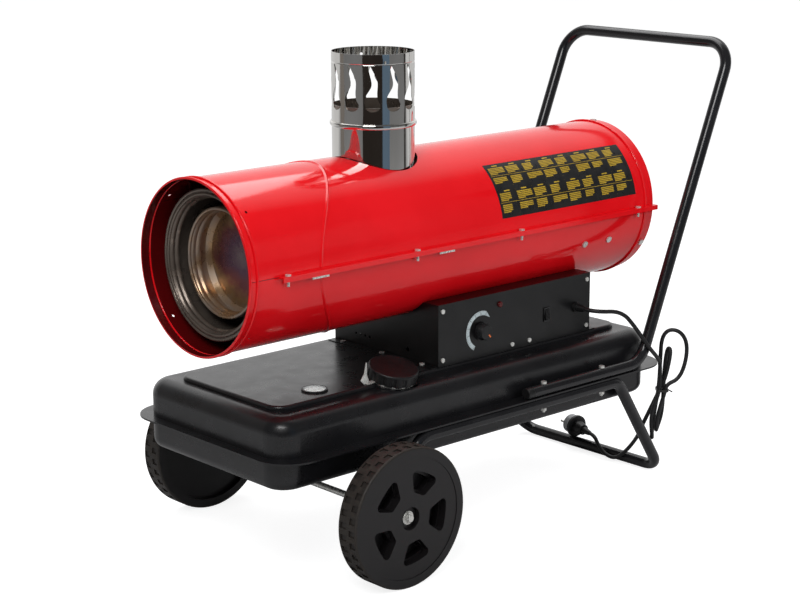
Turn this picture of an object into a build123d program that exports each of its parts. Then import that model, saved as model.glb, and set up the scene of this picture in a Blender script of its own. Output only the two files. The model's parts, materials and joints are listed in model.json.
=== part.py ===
from build123d import *
import os
from math import atan2, cos, degrees, hypot, pi, radians, sin, sqrt, tan

# Indirect-fired forced air heater on a two-wheeled barrow frame.
# Millimetres. +X runs from the hot-air outlet to the rear, +Y to the far side, +Z up.
# The control panel is on the -Y side. z = 0 is the ground, and x = 0 is midway between
# the rim of the hot-air outlet and the back of the handle.

# ---------------------------------------------------------------- casing
casing_r = 152.0
casing_sheet = 1.2
casing_axis_z = 544.0
casing_front_reach = 218.5        # axle to outlet rim
casing_length = 1005.0
rim_roll_r = 2.2
bead_r = 2.2
bead_groove_r = 2.0               # groove inside each bead
front_bead_from_rim = 17.0
rear_bead_from_end = 24.0
lap_top_from_rim = 264.5          # lap seam at the crown of the casing
lap_sweep = 105.0                 # how far the lap seam runs forward at mid height
lap_gap = 0.3
seam_flange_width = 13.0
seam_flange_sheet = 1.5
seam_flange_from_rim = 62.0
seam_lip_drop = 7.5
seam_screw_r = 2.5
seam_screw_length = 18.0
seam_screw_head_r = 5.2
seam_screws_from_rim = (76.5, 367.9, 629.0, 954.0)
seam_clips_from_rim = (143.5, 436.0)
seam_clip_length = 36.0
seam_clip_drop = 11.5
duct_hole_from_rim = 31.5
duct_hole_r = 2.5

# ---------------------------------------------------------------- flue outlet
flue_from_rim = 406.0
flue_r = 74.8
flue_sheet = 0.8
flue_top_z = 880.0
flue_bead_z = 752.0
flue_hole_clearance = 4.7
slot_bottom_z = 782.0
slot_height = 78.0
slot_half_width = 13.5
slot_count = 12
flue_pin_hole_r = 2.6
flue_pin_hole_below_top = 14.0
spigot_length = 17.0              # plain end of the flue above its groove
spigot_groove_width = 2.4
spigot_groove_depth = 0.4

# ---------------------------------------------------------------- combustion chamber
jacket_r = 132.0
jacket_depth = 13.0               # radial width of the ring-shaped flue gas passage
jacket_sheet = 1.2
jacket_from_rim = 36.5
jacket_length = 485.0
jacket_lip_r = 3.0
stub_top_z = 786.0                # inner collar that guides the flue
stub_sheet = 1.0
chamber_r = 97.0
chamber_sheet = 1.5
chamber_from_rim = 60.5
chamber_length = 468.0
chamber_lip_r = 3.0
end_disc_setback = 42.0
transfer_port_r = 30.0
support_width = 20.0
fit_gap = 0.3
burner_r = 44.0
burner_sheet = 1.2
burner_length = 150.0
burner_flange_r = 60.0
nozzle_r = 10.0
sleeve_r = 5.0                    # ceramic sleeves of the electrodes, clamped against the nozzle

# ---------------------------------------------------------------- motor and fan
motor_r = 45.0
motor_length = 110.0
motor_from_rear = 117.0
motor_shaft_r = 6.0
pump_r = 38.0
pump_length = 38.0
fuel_line_r = 4.0
shaft_clearance = 0.05
fan_r = 142.0
fan_hub_r = 28.0
fan_hub_length = 26.0
fan_from_rear = 58.0
fan_blades = 5
blade_pitch_deg = 32.0
blade_thickness = 2.0
root_chord = 34.0
tip_chord = 74.0
grille_depth = 14.0
grille_ring_step = 20.0
bracket_drop = 54.0
bracket_sheet = 3.0

# ---------------------------------------------------------------- control box
box_from_axle = 214.0
box_length = 403.0
box_half_width = 143.3
box_top_z = 432.6
box_sheet = 1.5
foot_width = 18.0
foot_screw_spacing = 110.0
panel_screw_inset = 10.0
panel_screw_rise = 12.5
middle_screw_from_box = 189.0
middle_screw_spacing = 46.0
vent_hole_r = 2.4
vent_hole_spacing = 13.0
dial_from_box = 107.6
dial_z = 367.0
dial_inner_r = 30.0
dial_outer_r = 38.0
dial_start_deg = 240.0
dial_end_deg = 45.0
dial_plate = 0.4
knob_r = 17.0
knob_height = 16.0
knob_gap = 0.5
knob_spindle_r = 3.0
lamp_from_box = 155.5
lamp_z = 409.8
lamp_r = 5.5
lamp_height = 4.0
switch_from_box = 281.5
switch_z = 369.3
switch_width = 15.0
switch_height = 27.0
switch_bezel = 2.0
switch_depth = 20.0
rocker_tilt_deg = 8.0
gland_from_box = 363.0
gland_z = 369.5
gland_r = 10.0
gland_nut_length = 5.0
relief_length = 20.0
relief_tip_r = 5.5

# ---------------------------------------------------------------- fuel tank
tank_front_reach = 195.8          # axle to the tank's front wall
tank_length = 937.0
tank_half_width = 195.3
tank_corner_r = 44.4
tank_bottom_z = 183.2
tank_flange_z = 242.2
tank_ledge_z = 309.0
tank_panel_z = 317.0
tank_sheet = 1.5
tank_shoulder_r = 28.0
tank_heel_r = 18.0
panel_inset_end = 38.0
panel_half_width = 143.5
panel_corner_r = 30.0
panel_edge_r = 5.0
flange_side_reach = 29.7
flange_front_reach = 19.0
flange_rear_reach = 28.0
flange_corner_r = 66.0
cap_from_axle = 109.0
cap_y = -134.0
cap_seat_z = 316.8
cap_tilt_deg = 14.4
cap_r = 45.0
cap_height = 24.0
cap_flutes = 14
neck_r = 32.0
neck_height = 15.0
neck_wall = 2.0
boss_r = 49.0
thread_gap = 1.2
gauge_from_axle = -39.7
gauge_y = -99.0
gauge_bezel_r = 23.5
gauge_bezel_height = 2.6
gauge_well_r = 20.0
gauge_well_depth = 22.0
gauge_wall = 1.5
gauge_lens = 1.5
gauge_disc_r = 17.0
float_r = 16.0
float_height = 20.0
float_rod_r = 1.5
float_rest_z = 200.0

# ---------------------------------------------------------------- frame, handle, wheels
tube_r = 11.0
tube_wall = 1.5
side_y = 216.3
frame_front_bend = 108.0          # axle to the front bend
frame_rear_bend = 620.0           # axle to the rear bend
foot_bar_reach = 785.0            # axle to the bar on the ground
foot_bar_half = 187.0
frame_bend_r = 40.0
frame_end_overrun = 16.0
handle_start = 382.0              # axle to the front end of the handle tube
handle_lean = 0.414               # run per unit of rise
handle_foot = 686.7               # axle to where the handle turns upwards
handle_top_z = 853.8
handle_bend_r = 55.0
end_cap_length = 16.0
bolt_from_axle = (414.0, 574.0)
bolt_r = 3.0
bolt_clearance = 0.2
bolt_head_r = 5.5
bolt_head_height = 4.0
nut_af = 10.0
nut_height = 5.0
wheel_r = 125.0
wheel_width = 45.8
wheel_outer_y = 302.9
wheel_band = 17.0                 # thickness of the tread band
wheel_web_setback = 1.2
wheel_edge_r = 4.0
pocket_inner_r = 44.0
pocket_outer_r = 82.0
pocket_depth = 14.0
pocket_core_depth = 28.0
pocket_core_inset = 5.0
pocket_corner_r = 8.0
pocket_bulge = 4.0                # how far a pocket's outer side curves out
spoke_width = 25.0
spoke_count = 5
pocket_turn_deg = 8.0
hub_recess_r = 20.5
hub_recess_depth = 10.0
hub_boss_r = 24.0
tread_count = 36
tread_length = 11.0
tread_width = 14.0
tread_depth = 2.5
tread_row_inset = 10.5
tread_row_gap = 22.0
axle_r = 6.0
washer_r = 12.0
washer_t = 2.0
split_pin_r = 1.2

# ---------------------------------------------------------------- mains cord
cord_r = 4.0
hank_layer = 8.9                  # pitch between neighbouring strands at the tie
hank_fold_r = 8.3
hank_bottoms = (-104.0, -88.0)
tight_fold_top = 79.0
big_loop_top = 114.0
hank_ends = 28.0                  # rise of the hank's first face over the tie
tie_from_axle = 765.0
tie_y = -207.0
tie_z = 186.0
view_turn_deg = 42.3              # the hank's face is turned this far from +X
plug_y = 41.0                     # far side of the plug's flange
plug_r = 23.0
plug_disc_length = 8.0
plug_grip_r = 12.0
plug_grip_length = 22.0
plug_relief_length = 20.0
plug_face_r = 19.5
plug_face_length = 16.0
pin_r = 2.4
pin_length = 19.0
pin_spacing = 19.0
plug_turn_deg = 10.0
plug_dip_deg = 5.0
tie_width = 5.0

# ---------------------------------------------------------------- derived places
handle_top_reach = handle_foot + handle_lean * (handle_top_z - tank_flange_z - tube_r)
axle_x = (casing_front_reach - handle_top_reach - tube_r) / 2
axle_z = wheel_r
rim_x = axle_x - casing_front_reach
casing_rear_x = rim_x + casing_length
casing_inner_r = casing_r - casing_sheet
flue_x = rim_x + flue_from_rim
motor_x = casing_rear_x - motor_from_rear - motor_length
pump_mid_x = motor_x - pump_length / 2
box_x = axle_x + box_from_axle
box_end_x = box_x + box_length
tank_x = axle_x - tank_front_reach
tank_end_x = tank_x + tank_length
tank_mid_x = (tank_x + tank_end_x) / 2
tank_seam_z = tank_flange_z - tank_sheet
tank_under_z = tank_flange_z - 2 * tank_sheet
handle_run_z = tank_flange_z + tube_r
frame_run_z = tank_under_z - tube_r
casing_axis = Axis((0, 0, casing_axis_z), (1, 0, 0))
nodes = []


def finish(builder, name):
    """Labels a finished piece and keeps it for writing."""
    builder.part.label = name
    nodes.append(builder.part)


def on_casing(x, angle_deg):
    """A plane on the casing axis at x whose normal leans angle_deg from the near side (-Y) towards +Z."""
    direction = (0, -cos(radians(angle_deg)), sin(radians(angle_deg)))
    return Plane((x, 0, casing_axis_z), x_dir=(1, 0, 0), z_dir=direction)


def block(x0, x1, y0, y1, z0, z1, mode=Mode.ADD):
    """A box given by its corners."""
    with Locations(((x0 + x1) / 2, (y0 + y1) / 2, (z0 + z1) / 2)):
        Box(x1 - x0, y1 - y0, z1 - z0, mode=mode)


def disc_on(plane, radius, height, mode=Mode.ADD):
    """A round boss standing on a plane."""
    with BuildSketch(plane) as outline:
        Circle(radius)
    extrude(outline.sketch, amount=height, mode=mode)


def ring_on(plane, outer, inner, height, mode=Mode.ADD):
    """A ring standing on a plane."""
    with BuildSketch(plane) as outline:
        Circle(outer)
        Circle(inner, mode=Mode.SUBTRACT)
    extrude(outline.sketch, amount=height, mode=mode)


def across_x(x):
    """A plane across the casing axis, facing the rear."""
    return Plane((x, 0, casing_axis_z), x_dir=(0, 1, 0), z_dir=(1, 0, 0))


def facing_out(x, y, z):
    """A plane that faces the near side, for parts on the control panel."""
    return Plane((x, y, z), x_dir=(1, 0, 0), z_dir=(0, -1, 0))


# ================================================================ casing shells
def casing_wall(side):
    """Half of the casing: wall, rolled rim and beads, turned about the axis. side is +1 up, -1 down."""
    with BuildSketch(Plane.XY.offset(casing_axis_z)) as profile:
        with Locations(((rim_x + casing_rear_x) / 2, -(casing_r - casing_sheet / 2))):
            Rectangle(casing_length, casing_sheet)
        with Locations((rim_x + rim_roll_r, -(casing_inner_r + rim_roll_r))):
            Circle(rim_roll_r)
        bead_y = -(casing_inner_r + bead_r)
        with Locations((rim_x + front_bead_from_rim, bead_y), (casing_rear_x - rear_bead_from_end, bead_y)):
            Circle(bead_r)
        groove_y = -casing_inner_r
        with Locations((rim_x + front_bead_from_rim, groove_y), (casing_rear_x - rear_bead_from_end, groove_y)):
            Circle(bead_groove_r, mode=Mode.SUBTRACT)
    revolve(profile.sketch, axis=Axis(casing_axis.position, (-side, 0, 0)), revolution_arc=180)


def seam_strips(side, reach):
    """Outward flanges along both long edges of a half casing."""
    low = min(0, side * seam_flange_sheet)
    for y_side in (-1, 1):
        inner = y_side * (casing_r - casing_sheet / 2)
        outer = y_side * (casing_r + reach)
        block(rim_x + seam_flange_from_rim, casing_rear_x, min(inner, outer), max(inner, outer),
              casing_axis_z + low, casing_axis_z + low + seam_flange_sheet)


def lap_region(front):
    """Space in front of (or behind) the curved lap seam."""
    edge_y = casing_r + seam_flange_width + 5
    top_x = rim_x + lap_top_from_rim
    side_x = top_x - lap_sweep * (edge_y / casing_r) ** 2
    shift = 0 if front else lap_gap
    far_x = rim_x - 10 if front else casing_rear_x + 10
    with BuildSketch(Plane.XY.offset(casing_axis_z - casing_r - 10)) as region:
        with BuildLine():
            Bezier((side_x + shift, -edge_y), (2 * top_x - side_x + shift, 0), (side_x + shift, edge_y))
            Polyline((side_x + shift, edge_y), (far_x, edge_y), (far_x, -edge_y), (side_x + shift, -edge_y))
        make_face()
    extrude(region.sketch, amount=2 * casing_r + 20, mode=Mode.INTERSECT)


def seam_holes():
    """Holes for the seam screws in the flanges of both sides."""
    hole_y = casing_r + seam_flange_width / 2
    for from_rim in seam_screws_from_rim:
        with Locations((rim_x + from_rim, -hole_y, casing_axis_z), (rim_x + from_rim, hole_y, casing_axis_z)):
            Cylinder(seam_screw_r + bolt_clearance, 6 * seam_flange_sheet, mode=Mode.SUBTRACT)


def drill_casing(x, angle_deg, radius):
    """A radial hole through the casing wall."""
    disc_on(on_casing(x, angle_deg).offset(casing_inner_r - 4), radius, 12, mode=Mode.SUBTRACT)


grille_screw_angles = (-30, 90, 210)
grille_screw_x = casing_rear_x - 10.5
bracket_screw_deg = -degrees(atan2(bracket_drop, sqrt(casing_r ** 2 - bracket_drop ** 2)))
bracket_screws_x = (casing_rear_x - 186.0, casing_rear_x - 118.0)
casing_screw_r = 2.5
casing_screw_head_r = 6.2

for is_front, upper_name, lower_name in ((True, "casing_upper_front", "casing_lower_front"),
                                         (False, "casing_upper_rear", "casing_lower_rear")):
    with BuildPart() as casing_upper:
        casing_wall(1)
        seam_strips(1, seam_flange_width)
        for y_side in (-1, 1):
            lip_outer = y_side * (casing_r + seam_flange_width)
            lip_inner = lip_outer - y_side * seam_flange_sheet
            block(rim_x + seam_flange_from_rim, casing_rear_x, min(lip_inner, lip_outer),
                  max(lip_inner, lip_outer), casing_axis_z - seam_lip_drop, casing_axis_z)
        seam_holes()
        if is_front:
            for angle in (45, 135):
                drill_casing(rim_x + duct_hole_from_rim, angle, duct_hole_r)
        else:
            drill_casing(grille_screw_x, grille_screw_angles[1], casing_screw_r + bolt_clearance)
            disc_on(Plane((flue_x, 0, casing_axis_z)), flue_r + flue_hole_clearance, casing_r + 10,
                    mode=Mode.SUBTRACT)
        lap_region(is_front)
    finish(casing_upper, upper_name)

    with BuildPart() as casing_lower:
        casing_wall(-1)
        seam_strips(-1, seam_flange_width - seam_flange_sheet - fit_gap)
        seam_holes()
        if is_front:
            for angle in (-45, -135):
                drill_casing(rim_x + duct_hole_from_rim, angle, duct_hole_r)
        else:
            for angle in (grille_screw_angles[0], grille_screw_angles[2]):
                drill_casing(grille_screw_x, angle, casing_screw_r + bolt_clearance)
            for screw_x in bracket_screws_x:
                for angle in (bracket_screw_deg, 180 - bracket_screw_deg):
                    drill_casing(screw_x, angle, casing_screw_r + bolt_clearance)
            drill_casing(pump_mid_x, -90, fuel_line_r + fit_gap)
        lap_region(is_front)
    finish(casing_lower, lower_name)

# Seam screws with their nuts, heads up.
with BuildPart() as seam_screws:
    for from_rim in seam_screws_from_rim:
        for y_side in (-1, 1):
            spot = (rim_x + from_rim, y_side * (casing_r + seam_flange_width / 2), casing_axis_z)
            top = Plane(spot).offset(seam_flange_sheet)
            disc_on(top, seam_screw_head_r, 2.4)
            disc_on(top, seam_screw_r, -seam_screw_length)
            with BuildSketch(Plane(spot).offset(-seam_flange_sheet)):
                RegularPolygon(4.4, 6)
            extrude(amount=-4)
finish(seam_screws, "seam_screws")

# Spring clips under the seam flange.
with BuildPart() as seam_clips:
    clip_y = casing_r + seam_flange_width - seam_flange_sheet - fit_gap
    for from_rim in seam_clips_from_rim:
        for y_side in (-1, 1):
            block(rim_x + from_rim - seam_clip_length / 2, rim_x + from_rim + seam_clip_length / 2,
                  min(y_side * clip_y, y_side * (clip_y - 2)), max(y_side * clip_y, y_side * (clip_y - 2)),
                  casing_axis_z - seam_clip_drop, casing_axis_z - seam_flange_sheet)
finish(seam_clips, "seam_clips")

# Screws that hold the rear grille and the motor bracket.
with BuildPart() as casing_screws:
    spots = [(grille_screw_x, angle) for angle in grille_screw_angles]
    spots += [(x, angle) for x in bracket_screws_x for angle in (bracket_screw_deg, 180 - bracket_screw_deg)]
    for screw_x, angle in spots:
        disc_on(on_casing(screw_x, angle).offset(casing_r + fit_gap), casing_screw_head_r, 2.6)
        disc_on(on_casing(screw_x, angle).offset(casing_r + fit_gap), casing_screw_r, -5)
finish(casing_screws, "casing_screws")

# ================================================================ combustion chamber
jacket_x = rim_x + jacket_from_rim
jacket_end_x = jacket_x + jacket_length
jacket_inner_r = jacket_r - jacket_depth
chamber_x = rim_x + chamber_from_rim
chamber_end_x = chamber_x + chamber_length
port_x = chamber_x + chamber_length / 2

# Ring-shaped heat exchanger: flue gas passes between its two walls.
with BuildPart() as heat_exchanger:
    ring_on(across_x(jacket_x), jacket_r, jacket_r - jacket_sheet, jacket_length)
    stub_r = flue_r - flue_sheet - fit_gap
    stub_foot_z = casing_axis_z + jacket_inner_r - 20
    disc_on(Plane((flue_x, 0, stub_foot_z)), stub_r, stub_top_z - stub_foot_z)
    disc_on(across_x(jacket_x - 1), jacket_r - jacket_sheet, jacket_length + 2, mode=Mode.SUBTRACT)
    disc_on(Plane((flue_x, 0, casing_axis_z)), stub_r - stub_sheet, stub_top_z, mode=Mode.SUBTRACT)
    with BuildSketch(Plane.XY.offset(casing_axis_z)):
        with Locations(((jacket_x + jacket_end_x) / 2, -(jacket_inner_r + jacket_sheet / 2))):
            Rectangle(jacket_length, jacket_sheet)
        for wall_x in (jacket_x + jacket_sheet / 2, jacket_end_x - jacket_sheet / 2):
            with Locations((wall_x, -(jacket_r + jacket_inner_r) / 2)):
                Rectangle(jacket_sheet, jacket_depth)
        with Locations((jacket_x, -(jacket_r - jacket_lip_r)), (jacket_x, -(jacket_inner_r + jacket_lip_r))):
            Circle(jacket_lip_r)
    revolve(axis=casing_axis)
    disc_on(Plane((port_x, 0, casing_axis_z - jacket_r + jacket_depth / 2)), transfer_port_r + fit_gap, 40,
            mode=Mode.SUBTRACT)
finish(heat_exchanger, "heat_exchanger")

# Inner drum with the port through which the gas enters the heat exchanger.
with BuildPart() as combustion_chamber:
    with BuildSketch(Plane.XY.offset(casing_axis_z)):
        with Locations(((chamber_x + chamber_end_x) / 2, -(chamber_r - chamber_sheet / 2))):
            Rectangle(chamber_length, chamber_sheet)
        with Locations((chamber_x, -(chamber_r - chamber_lip_r))):
            Circle(chamber_lip_r)
        with Locations((chamber_end_x - chamber_sheet / 2, -(chamber_r + burner_r + fit_gap) / 2)):
            Rectangle(chamber_sheet, chamber_r - burner_r - fit_gap)
    revolve(axis=casing_axis)
    port_top = Plane((port_x, 0, casing_axis_z - chamber_r + 6), z_dir=(0, 0, -1))
    disc_on(port_top, transfer_port_r, jacket_inner_r + jacket_sheet - chamber_r + 7)
    disc_on(port_top.offset(-20), transfer_port_r - chamber_sheet, 80, mode=Mode.SUBTRACT)
finish(combustion_chamber, "combustion_chamber")

# Dished disc that closes the drum, set back from its lip.
with BuildPart() as chamber_end_disc:
    disc_r = chamber_r - chamber_sheet - fit_gap
    disc_x = chamber_x + end_disc_setback
    with BuildSketch(Plane.XY.offset(casing_axis_z)):
        with BuildLine():
            Polyline((disc_x, 0), (disc_x, -(disc_r - 10)), (disc_x - 8, -(disc_r - 2)),
                     (disc_x - 18, -(disc_r - 2)))
            Polyline((disc_x - 18, -(disc_r - 2)), (disc_x - 18, -disc_r), (disc_x - 7, -disc_r))
            Polyline((disc_x - 7, -disc_r), (disc_x + 2, -(disc_r - 9)), (disc_x + 2, 0), (disc_x, 0))
        make_face()
    revolve(axis=casing_axis)
finish(chamber_end_disc, "chamber_end_disc")

# Stand-offs between casing, heat exchanger and drum.
with BuildPart() as chamber_supports:
    for along in (0.16, 0.9):
        for angle in (30, 150, 270):
            support_x = jacket_x + along * jacket_length
            for low_r, high_r in ((jacket_r + fit_gap, casing_inner_r - fit_gap),
                                  (chamber_r + fit_gap, jacket_inner_r - fit_gap)):
                with BuildSketch(on_casing(support_x, angle).offset(low_r)):
                    Rectangle(support_width, bracket_sheet)
                extrude(amount=high_r - low_r)
finish(chamber_supports, "chamber_supports")

# ================================================================ flue outlet
# Polished tube with flame-shaped draught slots, standing on the heat exchanger.
with BuildPart() as flue_outlet:
    with BuildSketch(Plane.XZ):
        wall_mid_x = flue_x + flue_r - flue_sheet / 2
        with Locations((wall_mid_x, (flue_top_z + casing_axis_z) / 2)):
            Rectangle(flue_sheet, flue_top_z - casing_axis_z)
        with Locations((flue_x + flue_r - flue_sheet + 2.2, flue_bead_z)):
            Ellipse(2.2, 4.5)
        groove_r = (spigot_groove_width ** 2 / 4 + spigot_groove_depth ** 2) / (2 * spigot_groove_depth)
        groove_z = flue_top_z - spigot_length - spigot_groove_width / 2
        with Locations((flue_x + flue_r + groove_r - spigot_groove_depth, groove_z)):
            Circle(groove_r, mode=Mode.SUBTRACT)
    revolve(axis=Axis((flue_x, 0, 0), (0, 0, 1)))
    with BuildSketch(across_x(flue_x - flue_r - 20)):
        Circle(jacket_r + fit_gap)
    extrude(amount=2 * flue_r + 40, mode=Mode.SUBTRACT)
    for index in range(slot_count):
        turn = radians(index * 360 / slot_count + 18)
        slot_plane = Plane((flue_x, 0, slot_bottom_z), x_dir=(-sin(turn), cos(turn), 0),
                           z_dir=(cos(turn), sin(turn), 0))
        with BuildSketch(slot_plane):
            with BuildLine():
                w = slot_half_width
                h = slot_height
                Spline((-w, 0.12 * h), (-0.75 * w, 0.37 * h), (-0.16 * w, 0.55 * h), (-0.3 * w, 0.76 * h),
                       (-0.55 * w, h))
                Line((-0.55 * w, h), (-0.3 * w, h))
                Spline((-0.3 * w, h), (0.3 * w, 0.8 * h), (0.62 * w, 0.65 * h), (0.6 * w, 0.45 * h),
                       (w, 0.14 * h))
                Spline((w, 0.14 * h), (0.7 * w, 0), (-0.7 * w, 0), (-w, 0.12 * h))
            make_face()
        extrude(amount=flue_r + 10, mode=Mode.SUBTRACT)
    for turn_deg in (-115, 65):
        turn = radians(turn_deg)
        disc_on(Plane((flue_x, 0, flue_top_z - flue_pin_hole_below_top), z_dir=(cos(turn), sin(turn), 0)),
                flue_pin_hole_r, flue_r + 10, mode=Mode.SUBTRACT)
finish(flue_outlet, "flue_outlet")

# ================================================================ burner
burner_x = chamber_end_x - 30
with BuildPart() as burner_tube:
    ring_on(across_x(burner_x), burner_r, burner_r - burner_sheet, burner_length)
    ring_on(across_x(chamber_end_x), burner_flange_r, burner_r - burner_sheet, 2)
finish(burner_tube, "burner_tube")

with BuildPart() as burner_nozzle:
    with BuildSketch(across_x(burner_x + 25)):
        Circle(5)
    with BuildSketch(across_x(burner_x + 34)):
        Circle(nozzle_r)
    loft()
    disc_on(across_x(burner_x + 34), nozzle_r, 22)
    disc_on(across_x(burner_x + 56), 4, motor_x - pump_length - burner_x - 56)
finish(burner_nozzle, "burner_nozzle")

with BuildPart() as igniter_electrodes:
    for y_side in (-1, 1):
        tip = Plane((burner_x + 12, y_side * (nozzle_r + sleeve_r + fit_gap), casing_axis_z), z_dir=(1, 0, 0))
        disc_on(tip, 1.5, 120)
        disc_on(tip.offset(18), sleeve_r, 70)
finish(igniter_electrodes, "igniter_electrodes")

# ================================================================ motor, fan and rear grille
shaft_x = motor_x - pump_length / 2
fan_x = casing_rear_x - fan_from_rear
with BuildPart() as motor:
    disc_on(across_x(motor_x), motor_r, motor_length)
    block(motor_x + 15, motor_x + motor_length - 15, -30, 30, casing_axis_z - bracket_drop, casing_axis_z - 30)
    disc_on(across_x(motor_x - 1), motor_shaft_r + shaft_clearance, motor_length + 2, mode=Mode.SUBTRACT)
finish(motor, "motor")

with BuildPart() as air_pump:
    disc_on(across_x(motor_x - pump_length), pump_r, pump_length)
    disc_on(across_x(shaft_x - 1), motor_shaft_r + shaft_clearance, pump_length, mode=Mode.SUBTRACT)
finish(air_pump, "air_pump")

with BuildPart() as motor_shaft:
    disc_on(across_x(shaft_x), motor_shaft_r, fan_x + fan_hub_length + 4 - shaft_x)
finish(motor_shaft, "motor_shaft")

with BuildPart() as fan:
    disc_on(across_x(fan_x), fan_hub_r, fan_hub_length)
    for index in range(fan_blades):
        turn = radians(index * 360 / fan_blades)
        pitch = radians(blade_pitch_deg)
        outward = Vector(0, cos(turn), sin(turn))
        tangent = Vector(0, -sin(turn), cos(turn))
        chord = Vector(sin(pitch), 0, 0) + tangent * cos(pitch)
        root = Vector(fan_x + fan_hub_length / 2, 0, casing_axis_z)
        with BuildSketch(Plane(root + outward * (fan_hub_r - 6), x_dir=chord, z_dir=outward)):
            Rectangle(root_chord, blade_thickness)
        with BuildSketch(Plane(root + outward * fan_r, x_dir=chord, z_dir=outward)):
            Rectangle(tip_chord, blade_thickness)
        loft()
    disc_on(across_x(fan_x - 1), motor_shaft_r, fan_hub_length + 2, mode=Mode.SUBTRACT)
finish(fan, "fan")

with BuildPart() as motor_bracket:
    with BuildSketch(across_x(bracket_screws_x[0] - 12)):
        Circle(casing_inner_r - fit_gap)
    extrude(amount=bracket_screws_x[1] - bracket_screws_x[0] + 24)
    block(motor_x - 100, motor_x + motor_length + 100, -casing_r, casing_r,
          casing_axis_z - bracket_drop - bracket_sheet, casing_axis_z - bracket_drop, mode=Mode.INTERSECT)
    with BuildSketch(across_x(bracket_screws_x[0] - 12)):
        Circle(casing_inner_r - fit_gap)
        Circle(casing_inner_r - fit_gap - bracket_sheet, mode=Mode.SUBTRACT)
        with Locations((0, -bracket_drop)):
            Rectangle(2 * casing_r, 26, mode=Mode.INTERSECT)
    extrude(amount=bracket_screws_x[1] - bracket_screws_x[0] + 24)
    for screw_x in bracket_screws_x:
        for angle in (bracket_screw_deg, 180 - bracket_screw_deg):
            drill_casing(screw_x, angle, casing_screw_r)
finish(motor_bracket, "motor_bracket")

with BuildPart() as rear_grille:
    grille_r = casing_inner_r - fit_gap
    ring_on(across_x(casing_rear_x - grille_depth), grille_r, grille_r - 1.5, grille_depth)
    with BuildSketch(across_x(casing_rear_x - 3)):
        Circle(grille_r)
        Circle(grille_r - 8, mode=Mode.SUBTRACT)
        ring_count = int((grille_r - 8) // grille_ring_step)
        for index in range(ring_count, 0, -1):
            Circle(index * grille_ring_step)
            Circle(index * grille_ring_step - 3, mode=Mode.SUBTRACT)
        Circle(grille_ring_step)
        with PolarLocations(0, 3):
            Rectangle(2 * grille_r - 4, 5)
    extrude(amount=3)
    for angle in grille_screw_angles:
        drill_casing(grille_screw_x, angle, casing_screw_r)
finish(rear_grille, "rear_grille")

# ================================================================ control box
panel_y = -box_half_width
panel_back_y = panel_y + box_sheet
return_width = 18.0
panel_screw_spots = ((box_x + panel_screw_inset, box_top_z - panel_screw_rise),
                     (box_end_x - panel_screw_inset, box_top_z - panel_screw_rise),
                     (box_x + panel_screw_inset, tank_panel_z + panel_screw_rise),
                     (box_end_x - panel_screw_inset, tank_panel_z + panel_screw_rise),
                     (box_x + middle_screw_from_box, tank_panel_z + panel_screw_rise - 2),
                     (box_x + middle_screw_from_box + middle_screw_spacing, tank_panel_z + panel_screw_rise - 2))
panel_screw_r = 2.0
foot_screw_r = 2.5
foot_spots = [(x, y) for x in (box_x - foot_width / 2, box_end_x + foot_width / 2)
              for y in (-foot_screw_spacing, 0, foot_screw_spacing)]
dial_x = box_x + dial_from_box
lamp_x = box_x + lamp_from_box
switch_x = box_x + switch_from_box
gland_x = box_x + gland_from_box

with BuildPart() as control_box:
    block(box_x, box_end_x, panel_back_y, box_half_width, tank_panel_z, box_top_z)
    block(box_x + box_sheet, box_end_x - box_sheet, panel_back_y + box_sheet, box_half_width - box_sheet,
          tank_panel_z, box_top_z - box_sheet, mode=Mode.SUBTRACT)
    block(box_x + return_width, box_end_x - return_width, panel_back_y, panel_back_y + box_sheet,
          tank_panel_z + return_width, box_top_z - return_width, mode=Mode.SUBTRACT)
    for end_x, away in ((box_x, -1), (box_end_x, 1)):
        foot_edge = end_x + away * foot_width
        block(min(end_x, foot_edge), max(end_x, foot_edge), panel_back_y, box_half_width,
              tank_panel_z, tank_panel_z + box_sheet)
    disc_on(across_x(box_x - foot_width - 1), casing_r + fit_gap, box_length + 2 * foot_width + 2,
            mode=Mode.SUBTRACT)
    for index in range(4):
        disc_on(Plane((box_x - 1, 43.5 + index * vent_hole_spacing, tank_panel_z + 22.5), z_dir=(1, 0, 0)),
                vent_hole_r, box_sheet + 2, mode=Mode.SUBTRACT)
    disc_on(Plane((box_x - 1, -61.5, tank_panel_z + 19), z_dir=(1, 0, 0)), 4, box_sheet + 2, mode=Mode.SUBTRACT)
    for x, z in panel_screw_spots:
        disc_on(facing_out(x, panel_back_y + box_sheet + 1, z), panel_screw_r, box_sheet + 2, mode=Mode.SUBTRACT)
    for x, y in foot_spots:
        disc_on(Plane((x, y, tank_panel_z - 1)), foot_screw_r, box_sheet + 2, mode=Mode.SUBTRACT)
finish(control_box, "control_box")

with BuildPart() as foot_screws:
    for x, y in foot_spots:
        disc_on(Plane((x, y, tank_panel_z)), foot_screw_r, box_sheet)
        disc_on(Plane((x, y, tank_panel_z + box_sheet)), 4.8, 2.6)
finish(foot_screws, "foot_screws")

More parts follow.
